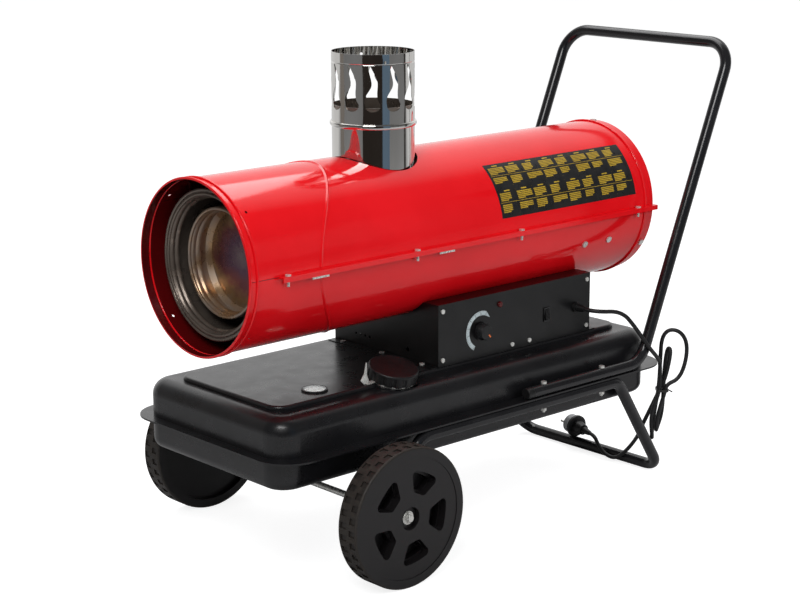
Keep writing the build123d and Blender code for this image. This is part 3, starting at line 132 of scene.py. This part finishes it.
def tint(tree, shader, source, low, high, from_low=0.35, from_high=0.65):
    """Base colour that varies between two colours."""
    share = span(tree, source, 0, 1, from_low, from_high)
    mix = ramp(tree, share, [(0, low), (1, high)])
    tree.links.new(mix, shader.inputs["Base Color"])


def distance_from(tree, where, centre, keep):
    """Distance of a place from a centre, counting only the axes kept."""
    centred = add(tree, "ShaderNodeVectorMath", [(0, where)], operation="SUBTRACT")
    centred.inputs[1].default_value = centre
    flat = add(tree, "ShaderNodeVectorMath", [(0, centred.outputs[0])], operation="MULTIPLY")
    flat.inputs[1].default_value = keep
    return add(tree, "ShaderNodeVectorMath", [(0, flat.outputs[0])], operation="LENGTH").outputs["Value"]


def from_casing_axis(tree, where):
    """Distance from the axis of the casing, in metres."""
    return distance_from(tree, where, (0, 0, CASING_Z * MM), (0, 1, 1))


# ================================================================ materials
def gloss_paint(name, low, high):
    """Oven-baked gloss enamel on sheet steel: faint orange peel, slow drifts of tone, and painted shade on the
    inner face of the casing, where the red is darker.
    """
    material, tree, shader = surface(name, Roughness=0.16)
    where = place(tree)
    share = span(tree, grain(tree, where, 160, 3), 0, 1)
    outside = ramp(tree, share, [(0, rgb(low)), (1, rgb(high))])
    # Painted shade: a darker red for the inner face of the casing wall, chosen by distance from the casing
    # axis.
    painted_inside_shade = ramp(tree, share, [(0, rgb("4A0608")), (1, rgb("5A080B"))])
    depth = span(tree, from_casing_axis(tree, where), 0, 1, 0.1511, 0.1513)
    inside_shade_mix = add(tree, "ShaderNodeMix", [("Factor", depth)], data_type="RGBA")
    tree.links.new(painted_inside_shade, inside_shade_mix.inputs[6])
    tree.links.new(outside, inside_shade_mix.inputs[7])
    tree.links.new(inside_shade_mix.outputs[2], shader.inputs["Base Color"])
    tree.links.new(span(tree, grain(tree, where, 60, 4), 0.08, 0.13), shader.inputs["Roughness"])
    bump(tree, shader, grain(tree, where, 5.5, 2), 0.02, 0.35)
    return material


def satin_paint(name, low, high, rough, peel_mm=1.4, depth=0.012):
    """Semi-gloss paint or powder coat on steel: a fine pebbled skin."""
    material, tree, shader = surface(name, Roughness=rough)
    where = place(tree)
    tint(tree, shader, grain(tree, where, 90, 4), rgb(low), rgb(high))
    uneven = span(tree, grain(tree, where, 35, 5), rough - 0.03, rough + 0.04)
    tree.links.new(uneven, shader.inputs["Roughness"])
    bump(tree, shader, grain(tree, where, peel_mm, 2), depth, 0.6)
    return material


def metal(name, low, high, rough, streak=(1, 1, 1), size_mm=12, depth=0.004, spread=0.06, metallic=1.0):
    """Bare or plated metal, with streaks along the axis whose scale is small."""
    material, tree, shader = surface(name, Metallic=metallic, Roughness=rough)
    where = place(tree, streak)
    tint(tree, shader, grain(tree, where, size_mm * 4, 4), rgb(low), rgb(high))
    tree.links.new(span(tree, grain(tree, where, size_mm, 5), max(rough - spread, 0.02), rough + spread),
                   shader.inputs["Roughness"])
    bump(tree, shader, grain(tree, where, size_mm / 6, 2), depth, 0.4)
    return material


def plastic(name, low, high, rough, size_mm=0.9, depth=0.02):
    """Moulded plastic with a fine spark-eroded grain."""
    material, tree, shader = surface(name, Roughness=rough)
    where = place(tree)
    tint(tree, shader, grain(tree, where, 30, 4), rgb(low), rgb(high))
    uneven = span(tree, grain(tree, where, 14, 4), rough - 0.06, rough + 0.08)
    tree.links.new(uneven, shader.inputs["Roughness"])
    bump(tree, shader, grain(tree, where, size_mm, 2), depth, 0.5)
    return material


def heat_tint(name):
    """Stainless steel blued and browned by the flame: bands by radius, broken up by noise."""
    material, tree, shader = surface(name, Metallic=0.7, Roughness=0.28)
    where = place(tree)
    radius = from_casing_axis(tree, where)
    cloud = grain(tree, where, 55, 5, 0.6)
    wander = add(tree, "ShaderNodeMath", [(0, cloud)], operation="MULTIPLY_ADD")
    wander.inputs[1].default_value = 0.09
    wander.inputs[2].default_value = -0.045
    total = add(tree, "ShaderNodeMath", [(0, radius), (1, wander.outputs[0])], operation="ADD").outputs[0]
    share = span(tree, total, 0, 1, 0, 0.14)
    colour = ramp(tree, share, [(0.0, rgb("8A7B80")), (0.72, rgb("9A8C80")), (0.2, rgb("6F5468")),
                                (0.4, rgb("7C4A4C")), (0.55, rgb("9C7B58")), (0.8, rgb("6E645C")),
                                (1.0, rgb("7A7067"))])
    tree.links.new(colour, shader.inputs["Base Color"])
    tree.links.new(span(tree, cloud, 0.2, 0.42), shader.inputs["Roughness"])
    bump(tree, shader, grain(tree, where, 3, 3), 0.01, 0.5)
    return material


def wheel_mix(name):
    """Moulded wheel in one piece: satin black disc, dull brownish tread band with dust in it."""
    material, tree, shader = surface(name, Roughness=0.45)
    where = place(tree)
    radius = distance_from(tree, where, (AXLE_X * MM, 0, 0.125), (1, 0, 1))
    band = span(tree, radius, 0, 1, 0.1205, 0.1235)
    cloud = grain(tree, where, 12, 5, 0.6)
    patchy = span(tree, cloud, 0.45, 1)
    dust = add(tree, "ShaderNodeMath", [(0, band), (1, patchy)], operation="MULTIPLY").outputs[0]
    tree.links.new(ramp(tree, dust, [(0, rgb("141213")), (1, rgb("2C2620"))]), shader.inputs["Base Color"])
    tree.links.new(span(tree, dust, 0.38, 0.72, 0, 1), shader.inputs["Roughness"])
    bump(tree, shader, grain(tree, where, 1.0, 3), 0.03, 0.5)
    return material


def acrylic(name, colour, rough, clear, wave_mm, depth, strength):
    """Moulded acrylic, clear to a share, with the slow waves of its mould."""
    material, tree, shader = surface(name, Base_Color=rgb(colour), Roughness=rough, Transmission_Weight=clear,
                                     IOR=1.49)
    bump(tree, shader, grain(tree, place(tree), wave_mm, 1), depth, strength)
    return material


red_paint = gloss_paint("red_paint", "DC0D16", "E6141D")
black_tank = satin_paint("black_tank", "121214", "18181A", 0.29, 2.2, 0.01)
black_powder = satin_paint("black_powder", "161618", "1E1E20", 0.19, 0.9, 0.01)
black_paint = satin_paint("black_paint", "050506", "0A0A0B", 0.34, 0.8, 0.014)
grey_paint = satin_paint("grey_paint", "55585A", "606366", 0.45)
zinc = metal("zinc_steel", "D2D2CE", "E2E2DE", 0.27, size_mm=6, metallic=0.6)
polished = metal("stainless_polished", "D6D4D0", "E4E3E0", 0.06, (1, 1, 0.12), 14, 0.003, 0.03)
tinted = heat_tint("stainless_tinted")
brass = metal("brass", "B5904A", "C7A25A", 0.25, size_mm=8)
aluminium = metal("aluminium", "B9BBBE", "CACCCE", 0.38, size_mm=5, depth=0.02)
nickel = metal("nickel", "C9C7C0", "D8D6D0", 0.16, size_mm=5)
ceramic = plastic("ceramic_white", "E2DED4", "ECE8E0", 0.18, 2, 0.005)
black_plastic = plastic("black_plastic", "101011", "171718", 0.42)
black_gloss = plastic("black_gloss_plastic", "101011", "161617", 0.2, 1.2, 0.006)
white_plastic = plastic("white_plastic", "D9D8D2", "E4E3DE", 0.35)
wheel_plastic = wheel_mix("wheel_plastic")
cord_rubber = plastic("cord_rubber", "101011", "171718", 0.48, 0.7, 0.02)
plug_rubber = plastic("plug_rubber", "0F0F10", "161617", 0.5, 0.8, 0.03)
plug_grey = plastic("plug_grey", "9B9C9E", "A9AAAC", 0.42)
fuel_hose = plastic("fuel_hose", "1A1A1B", "242425", 0.5)
scale_print = plastic("scale_print", "A9B6BA", "BECACD", 0.4, 1.2, 0.004)
mark_black = plastic("mark_black", "1B1D1F", "24272A", 0.45)
pointer_orange = plastic("pointer_orange", "E0662A", "EE7A38", 0.4)
label_black = plastic("label_black", "19191A", "222222", 0.32, 3, 0.004)
label_yellow = plastic("label_yellow", "A98A22", "BA9A2C", 0.4, 3, 0.004)
# Painted shadow: the dark red of the strips along the seam between the half shells.
painted_seam_shadow = plastic("painted_seam_shadow", "2A0506", "360708", 0.6, 2, 0.004)
tie_plastic = plastic("tie_plastic", "1A1A1A", "262626", 0.3, 1.0, 0.01)

# Dark red lens over an unlit lamp, and the clear acrylic window of the fuel gauge.
red_lens = acrylic("red_lens", "5A0708", 0.12, 0.35, 2.5, 0.05, 0.4)
clear_lens = acrylic("clear_lens", "F0F4F4", 0.04, 1.0, 9, 0.01, 0.3)

painted = {
    "red_paint": red_paint, "black_tank": black_tank, "black_powder": black_powder,
    "black_paint": black_paint,
    "grey_paint": grey_paint, "zinc_steel": zinc, "stainless_polished": polished, "stainless_tinted": tinted,
    "brass": brass, "aluminium": aluminium, "nickel": nickel, "ceramic_white": ceramic,
    "black_plastic": black_plastic, "black_gloss_plastic": black_gloss, "white_plastic": white_plastic,
    "wheel_plastic": wheel_plastic, "cord_rubber": cord_rubber, "plug_rubber": plug_rubber,
    "plug_grey": plug_grey, "fuel_hose": fuel_hose, "scale_print": scale_print, "tie_plastic": tie_plastic,
    "red_lens": red_lens, "clear_lens": clear_lens,
}
slot_of = {part["node"]: part["material_slot"] for part in frame["record"]["subparts"]}
for name, node in nodes.items():
    node.data.materials.clear()
    node.data.materials.append(painted[slot_of[name]])


def piece(name, verts, faces, material, body, smooth=True):
    """A mesh piece in the row frame, from millimetres, that rides a body."""
    mesh = bpy.data.meshes.new(name)
    mesh.from_pydata([Vector(v) * MM for v in verts], [], faces)
    mesh.validate()
    mesh.update()
    mesh.shade_flat()
    if smooth:
        mesh.shade_smooth()
        mesh.set_sharp_from_angle(angle=radians(35))
    mesh.materials.append(material)
    made = bpy.data.objects.new(name, mesh)
    scene.collection.objects.link(made)
    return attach(made, body)


# ================================================================ mains cord
# Control points of the cord's route, as in part.py: lead, tied hank and tail are one cord.
view_turn = radians(42.3)
tie_spot = Vector((AXLE_X + 765, -207, 186))
hank_right = Vector((cos(view_turn), -sin(view_turn), 0))
hank_deep = Vector((sin(view_turn), cos(view_turn), 0))


def hank_point(right, up, deep):
    """A point of the hank, measured from the tie."""
    return tie_spot + hank_right * right + hank_deep * deep + Vector((0, 0, up))


def from_axle(x, y, z):
    """A point given from the axle along X."""
    return Vector((AXLE_X + x, y, z))


column, row = 4.65, 8.9
hank_start = hank_point(-column - 0.9, 28, -row - 0.1)
hank_run = [hank_point(*corner) for corner in (
    (-column, -4, -row), (-22.5, -55, -row - 0.5), (-17.3, -104, -row), (-16.8, -104, row),
    (-12.5, -55, row + 0.5), (-column, 0, row), (-3.4, 56, row + 0.2), (-2.5, 100, row - 1), (12, 118, 6),
    (35, 113, 2), (47.5, 90, -2),
    (45, 52, -5), (32, 19, -8), (8.4, 8.5, -row), (column + 0.2, -8, -row), (-8.0, -55, -row - 0.4),
    (-10.5, -88, -row), (-6.5, -88, row), (3.5, -55, row + 0.4), (column, 0, row), (5.4, 40, row + 0.8),
    (9.6, 79, row + 0.8), (15.6, 79, -5.2), (10.0, 38, -3), (3, 10, 0), (-5.2, -7, 0))]
hank_finish = hank_point(-20.0, -41, 0.8)
plug_dir = Vector((-sin(radians(10)), -cos(radians(10)), -sin(radians(5)))).normalized()
plug_spot = from_axle(785, 41, 46)
plug_tip = plug_spot + plug_dir * 50
gland_tip = from_axle(577, -168.3, 369.5)
route = [gland_tip, gland_tip + Vector((0, -29, 0)), from_axle(638, -208, 363), from_axle(664, -222, 327.5),
         from_axle(686, -235.5, 289), from_axle(728, -228, 255),
         hank_start + (hank_start - hank_run[0]).normalized() * 20, hank_start, *hank_run, hank_finish,
         hank_finish + (hank_finish - hank_run[-1]).normalized() * 42, from_axle(763, -148, 67),
         from_axle(767.5, -112, 26), from_axle(767.5, -86, 7), from_axle(767, -59, 10.5),
         from_axle(768, -39, 26), plug_tip + plug_dir * 17, plug_tip]
flex_data = bpy.data.curves.new("mains_cord", "CURVE")
flex_data.dimensions = "3D"
flex_data.bevel_depth = 0.004
flex_data.bevel_resolution = 5
flex_data.resolution_u = 10
flex_data.use_fill_caps = True
line = flex_data.splines.new("NURBS")
line.points.add(len(route) - 1)
for point, spot in zip(line.points, route):
    point.co = (*(spot * MM), 1)
line.order_u = 3
line.use_endpoint_u = True
flex_data.materials.append(cord_rubber)
flex = bpy.data.objects.new("mains_cord", flex_data)
scene.collection.objects.link(flex)
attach(flex, "chassis")
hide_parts("cord_lead", "cord_hank", "cord_tail")


# ================================================================ casing details
def on_casing(x, angle, r):
    """A point at x and radius r whose direction leans angle degrees from the near side upwards."""
    return Vector((x, -r * cos(radians(angle)), CASING_Z + r * sin(radians(angle))))


def seam_x(angle):
    """The lap seam's place along the casing at an angle."""
    return RIM_X + 264.5 - 105 * cos(radians(angle)) ** 2


# Bead and stepped lip where the front shell laps over the rear one.
lap_profile = ((-10.5, -0.25), (-9.2, 0.35), (-8.0, 1.25), (-6.6, 1.75), (-5.2, 1.25), (-4.0, 0.45),
               (-1.2, 0.4), (-0.1, 0.4), (0.35, -0.25))
for lap_name, start_deg, end_deg in (("lap_bead_upper", 1.4, 178.6), ("lap_bead_lower", -178.6, -1.4)):
    steps = 96
    verts = []
    for step in range(steps + 1):
        angle = start_deg + (end_deg - start_deg) * step / steps
        verts += [on_casing(seam_x(angle) + along, angle, CASING_R + out) for along, out in lap_profile]
    across = len(lap_profile)
    faces = [(a * across + b, a * across + b + 1, (a + 1) * across + b + 1, (a + 1) * across + b)
             for a in range(steps) for b in range(across - 1)]
    faces += [((a + 1) * across, (a + 1) * across + across - 1, a * across + across - 1, a * across)
              for a in range(steps)]
    faces += [tuple(range(across))[::-1], tuple(range(steps * across, (steps + 1) * across))]
    piece(lap_name, verts, faces, red_paint, "chassis")


def curved_plate(x0, x1, low, high, inner, outer, steps):
    """Vertices and faces of a thin plate bent round the casing."""
    verts, faces = [], []
    for step in range(steps + 1):
        angle = low + (high - low) * step / steps
        verts += [on_casing(x, angle, r) for x, r in ((x0, inner), (x1, inner), (x1, outer), (x0, outer))]
    for step in range(steps):
        a, b = 4 * step, 4 * step + 4
        faces += [(a + 2, b + 2, b + 3, a + 3), (a, b, b + 1, a + 1), (a + 1, b + 1, b + 2, a + 2),
                  (a + 3, b + 3, b, a)]
    faces += [(0, 1, 2, 3), (4 * steps + 3, 4 * steps + 2, 4 * steps + 1, 4 * steps)]
    return verts, faces


# Painted shadow: dark strips for the shadow line where the half shells meet, between the rim and the seam
# flanges.
for seam_name, angle in (("seam_line_near", 0), ("seam_line_far", 180)):
    strip = curved_plate(RIM_X + 3, RIM_X + 62, angle - 0.17, angle + 0.17, CASING_R - 0.1, CASING_R + 0.06, 1)
    piece(seam_name, *strip, painted_seam_shadow, "chassis")

def turned(profile, steps=120):
    """Vertices and faces of a ring turned round the casing axis from a closed outline of (x, radius)."""
    verts = [on_casing(x, 360 * step / steps, r) for step in range(steps) for x, r in profile]
    across = len(profile)
    faces = []
    for step in range(steps):
        here, there = step * across, (step + 1) % steps * across
        faces += [(here + b, there + b, there + (b + 1) % across, here + (b + 1) % across)
                  for b in range(across)]
    return verts, faces


# Rolled beads on the throats of the heat exchanger and of the chamber: distance behind the rim, depth, radii.
beads, bead_height = 2, 1.5
swell = [step / 36 for step in range(37)]
for throat, front, depth, outer_r, inner_r in (("exchanger_throat", 37.0, 17.0, 118.8, 113.6),
                                               ("chamber_throat", 61.5, 19.0, 93.2, 86.8)):
    sheet = [(RIM_X + front + depth * s,
              outer_r - (outer_r - inner_r) * s - bead_height * abs(sin(beads * pi * s))) for s in swell]
    piece(throat, *turned(sheet + [(x, r + 1) for x, r in reversed(sheet)]), tinted, "chassis")


# Black film panel on the near side, with plain rows of bars.
LABEL_X0, LABEL_X1 = AXLE_X + 369, AXLE_X + 737
LABEL_LOW, LABEL_HIGH = 10.3, 51.1
film = curved_plate(LABEL_X0, LABEL_X1, LABEL_LOW, LABEL_HIGH, CASING_R + 0.05, CASING_R + 0.3, 28)
piece("film_panel", *film, label_black, "chassis")
bar_verts, bar_faces = [], []


def bar(x0, x1, low, high):
    """One raised bar on the film panel."""
    verts, faces = curved_plate(x0, x1, low, high, CASING_R + 0.28, CASING_R + 0.36, 1)
    shift = len(bar_verts)
    bar_verts.extend(verts)
    bar_faces.extend(tuple(v + shift for v in face) for face in faces)


# Two bands of columns; each cell holds a heading and two blocks of bars, with thin rules between the cells.
columns, line_step, line_height = 8, 1.2, 0.78
column_width = (LABEL_X1 - LABEL_X0 - 12) / columns
for band, top in enumerate((LABEL_HIGH - 1.4, LABEL_HIGH - 21.4)):
    for index in range(columns):
        left = LABEL_X0 + 6 + index * column_width
        bar(left + column_width * 0.3, left + column_width * 0.62, top - 0.9, top)
        for block, (lines, block_top) in enumerate(((5, top - 2.0), (4 + (index + band) % 2, top - 10.2))):
            for count in range(lines):
                length = 0.86 - 0.08 * ((index * 7 + count * 5 + band * 3 + block) % 5)
                if count == lines - 1:
                    length = 0.42
                high = block_top - count * line_step
                bar(left, left + column_width * length, high - line_height, high)
        if index:
            bar(left - 2.2, left - 1.7, top - 17.0, top)
    bar(LABEL_X0 + 4, LABEL_X1 - 4, top - 8.9, top - 8.6)
piece("film_bars", bar_verts, bar_faces, label_yellow, "chassis", smooth=False)


# ================================================================ control panel details
DIAL_X, DIAL_Z = AXLE_X + 321.6, 367.0


def on_panel(x, z, r, angle, lift):
    """A point on the control panel at a radius and an angle from a centre, lifted off the panel."""
    return Vector((x + r * cos(radians(angle)), PANEL_Y - lift, z + r * sin(radians(angle))))


def flat_bar(x, z, r0, r1, angle, width, low, high):
    """Vertices and faces of a small bar that points away from a centre on the panel."""
    side = Vector((-sin(radians(angle)), 0, cos(radians(angle)))) * width / 2
    verts = [on_panel(x, z, r, angle, lift) + side * s
             for lift in (low, high) for r in (r0, r1) for s in (-1, 1)]
    return verts, [(0, 1, 3, 2), (4, 6, 7, 5), (0, 4, 5, 1), (2, 3, 7, 6), (0, 2, 6, 4), (1, 5, 7, 3)]


tick_verts, tick_faces = [], []
for index in range(29):
    angle = 236 - index * 6
    foot_r, thickness = (35.6, 0.5) if index % 4 else (34.6, 0.8)
    verts, faces = flat_bar(DIAL_X, DIAL_Z, foot_r, 37.4, angle, thickness, 0.35, 0.5)
    tick_faces += [tuple(v + len(tick_verts) for v in face) for face in faces]
    tick_verts += verts
piece("dial_ticks", tick_verts, tick_faces, mark_black, "chassis", smooth=False)
for index in range(8):
    angle = 236 - index * 24
    spot = on_panel(DIAL_X, DIAL_Z, 32.4, angle, 0.4) * MM
    words = bpy.data.curves.new(f"dial_number_{index}", "FONT")
    words.body = str(index * 5)
    words.size = 0.0036
    words.extrude = 0.00006
    words.align_x = "CENTER"
    words.align_y = "CENTER"
    words.materials.append(mark_black)
    number = bpy.data.objects.new(f"dial_number_{index}", words)
    number.location = spot
    number.rotation_euler = (pi / 2, 0, 0)
    scene.collection.objects.link(number)
    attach(number, "chassis")

verts, faces = flat_bar(DIAL_X, DIAL_Z, 6.5, 13.2, -48, 2.4, 16.4, 16.9)
piece("knob_pointer", verts, faces, pointer_orange, "knob", smooth=False)


# ================================================================ stage and light
# The level direction from the front of the stage to its back.
BACKWARD = (0.673, 0.740, 0)


def smooth(tree, source, low, high, from_low, from_high):
    """Maps a value onto low to high with soft ends."""
    return add(tree, "ShaderNodeMapRange", [(0, source)], interpolation_type="SMOOTHSTEP", From_Min=from_low,
               From_Max=from_high, To_Min=low, To_Max=high).outputs[0]


def calc(tree, kind, first, second):
    """A sum, product or the like of two values, of which the second may be a number."""
    made = add(tree, "ShaderNodeMath", [(0, first)], operation=kind)
    if isinstance(second, float):
        made.inputs[1].default_value = second
    else:
        tree.links.new(second, made.inputs[1])
    return made.outputs[0]


def along(tree, source, direction):
    """How far a vector reaches in a direction."""
    made = add(tree, "ShaderNodeVectorMath", [(0, source)], operation="DOT_PRODUCT")
    made.inputs[1].default_value = direction
    return made.outputs["Value"]


# White paper floor: it shows white to the camera, and behind the object also in polished metal.
floor_mesh = bpy.data.meshes.new("floor")
floor_mesh.from_pydata([(-30, -30, 0), (30, -30, 0), (30, 30, 0), (-30, 30, 0)], [], [(0, 1, 2, 3)])
floor = bpy.data.objects.new("floor", floor_mesh)
scene.collection.objects.link(floor)
floor_material = bpy.data.materials.new("floor_white")
floor_material.use_nodes = True
tree = floor_material.node_tree
tree.nodes.clear()
matte = add(tree, "ShaderNodeBsdfDiffuse", Color=rgb("B4B4B5"))
rays = add(tree, "ShaderNodeLightPath")
spot_on_floor = add(tree, "ShaderNodeTexCoord").outputs["Object"]
behind = smooth(tree, along(tree, spot_on_floor, BACKWARD), 0, 0.5, 0.5, 2.0)
shown = calc(tree, "MULTIPLY", rays.outputs["Is Camera Ray"], 0.84)
mirrored = calc(tree, "MULTIPLY", rays.outputs["Is Glossy Ray"], behind)
glow = add(tree, "ShaderNodeEmission", [("Strength", calc(tree, "ADD", shown, mirrored))], Color=(1, 1, 1, 1))
both = add(tree, "ShaderNodeAddShader", [(0, matte.outputs[0]), (1, glow.outputs[0])])
add(tree, "ShaderNodeOutputMaterial", [("Surface", both.outputs[0])])
floor_mesh.materials.append(floor_material)

# Studio: a white cove behind the object, a pale ceiling that leans back and a darker room in front.
world = bpy.data.worlds.new("studio")
scene.world = world
world.use_nodes = True
tree = world.node_tree
tree.nodes.clear()
toward = add(tree, "ShaderNodeTexCoord").outputs["Generated"]
cove = smooth(tree, along(tree, toward, BACKWARD), 0.11, 1.0, 0.2, 0.88)
ceiling = smooth(tree, along(tree, toward, (0.42, 0.46, 0.78)), 0, 1.0, 0.66, 0.97)
rays = add(tree, "ShaderNodeLightPath")
seen = calc(tree, "MAXIMUM", rays.outputs["Is Camera Ray"], rays.outputs["Is Transmission Ray"])
level = calc(tree, "MAXIMUM", calc(tree, "MAXIMUM", cove, ceiling), seen)
sky = add(tree, "ShaderNodeBackground", [("Strength", level)], Color=(1, 1, 1, 1))
add(tree, "ShaderNodeOutputWorld", [("Surface", sky.outputs[0])])


def softbox(name, spot, target, size, power, mirrored=True):
    """A square area lamp aimed at a point. A lamp that is not mirrored leaves no highlight on gloss paint."""
    data = bpy.data.lights.new(name, "AREA")
    data.shape = "RECTANGLE"
    data.size, data.size_y = size
    data.energy = power
    made = bpy.data.objects.new(name, data)
    made.location = spot
    made.rotation_euler = (Vector(target) - Vector(spot)).to_track_quat("-Z", "Y").to_euler()
    made.visible_glossy = mirrored
    scene.collection.objects.link(made)


softbox("key", (-2.4, -1.6, 2.6), (0, 0, 0.4), (1.6, 1.6), 68)
softbox("fill", (1.2, -3.0, 1.6), (0, 0, 0.4), (1.8, 1.4), 44, mirrored=False)
softbox("top", (0.3, 1.2, 3.2), (0, 0, 0.4), (2.8, 2.0), 56)


def flag(name, turn_deg, half_width_deg, tone, reach=2.2, height=1.9):
    """A tall card that stands round the flue at an angle from the camera's side and shows only in gloss."""
    middle = -Vector(BACKWARD)
    centre = Vector(((AXLE_X + 187.5) * MM, 0, 0))
    ends = []
    for turn in (turn_deg - half_width_deg, turn_deg + half_width_deg):
        side = Vector((middle.x * cos(radians(turn)) - middle.y * sin(radians(turn)),
                       middle.x * sin(radians(turn)) + middle.y * cos(radians(turn)), 0))
        ends.append(centre + side * reach)
    mesh = bpy.data.meshes.new(name)
    mesh.from_pydata([*ends, *(end + Vector((0, 0, height)) for end in ends)], [], [(0, 1, 3, 2)])
    material = bpy.data.materials.new(name)
    material.use_nodes = True
    card_tree = material.node_tree
    card_tree.nodes.clear()
    card_glow = add(card_tree, "ShaderNodeEmission", Color=rgb(tone), Strength=1.0)
    add(card_tree, "ShaderNodeOutputMaterial", [("Surface", card_glow.outputs[0])])
    mesh.materials.append(material)
    card = bpy.data.objects.new(name, mesh)
    scene.collection.objects.link(card)
    card.visible_camera = False
    card.visible_diffuse = False
    card.visible_shadow = False
    card.visible_transmission = False


# Angles are counted from the camera's side towards the rear of the object.
flag("flag_dark", -1, 27, "2C2724")
flag("flag_slate", 36, 10, "5F7284")
flag("flag_slim", 97, 3.5, "3A3836")
flag("flag_left", -93, 7, "7E7873")

scene.view_settings.view_transform = "Standard"
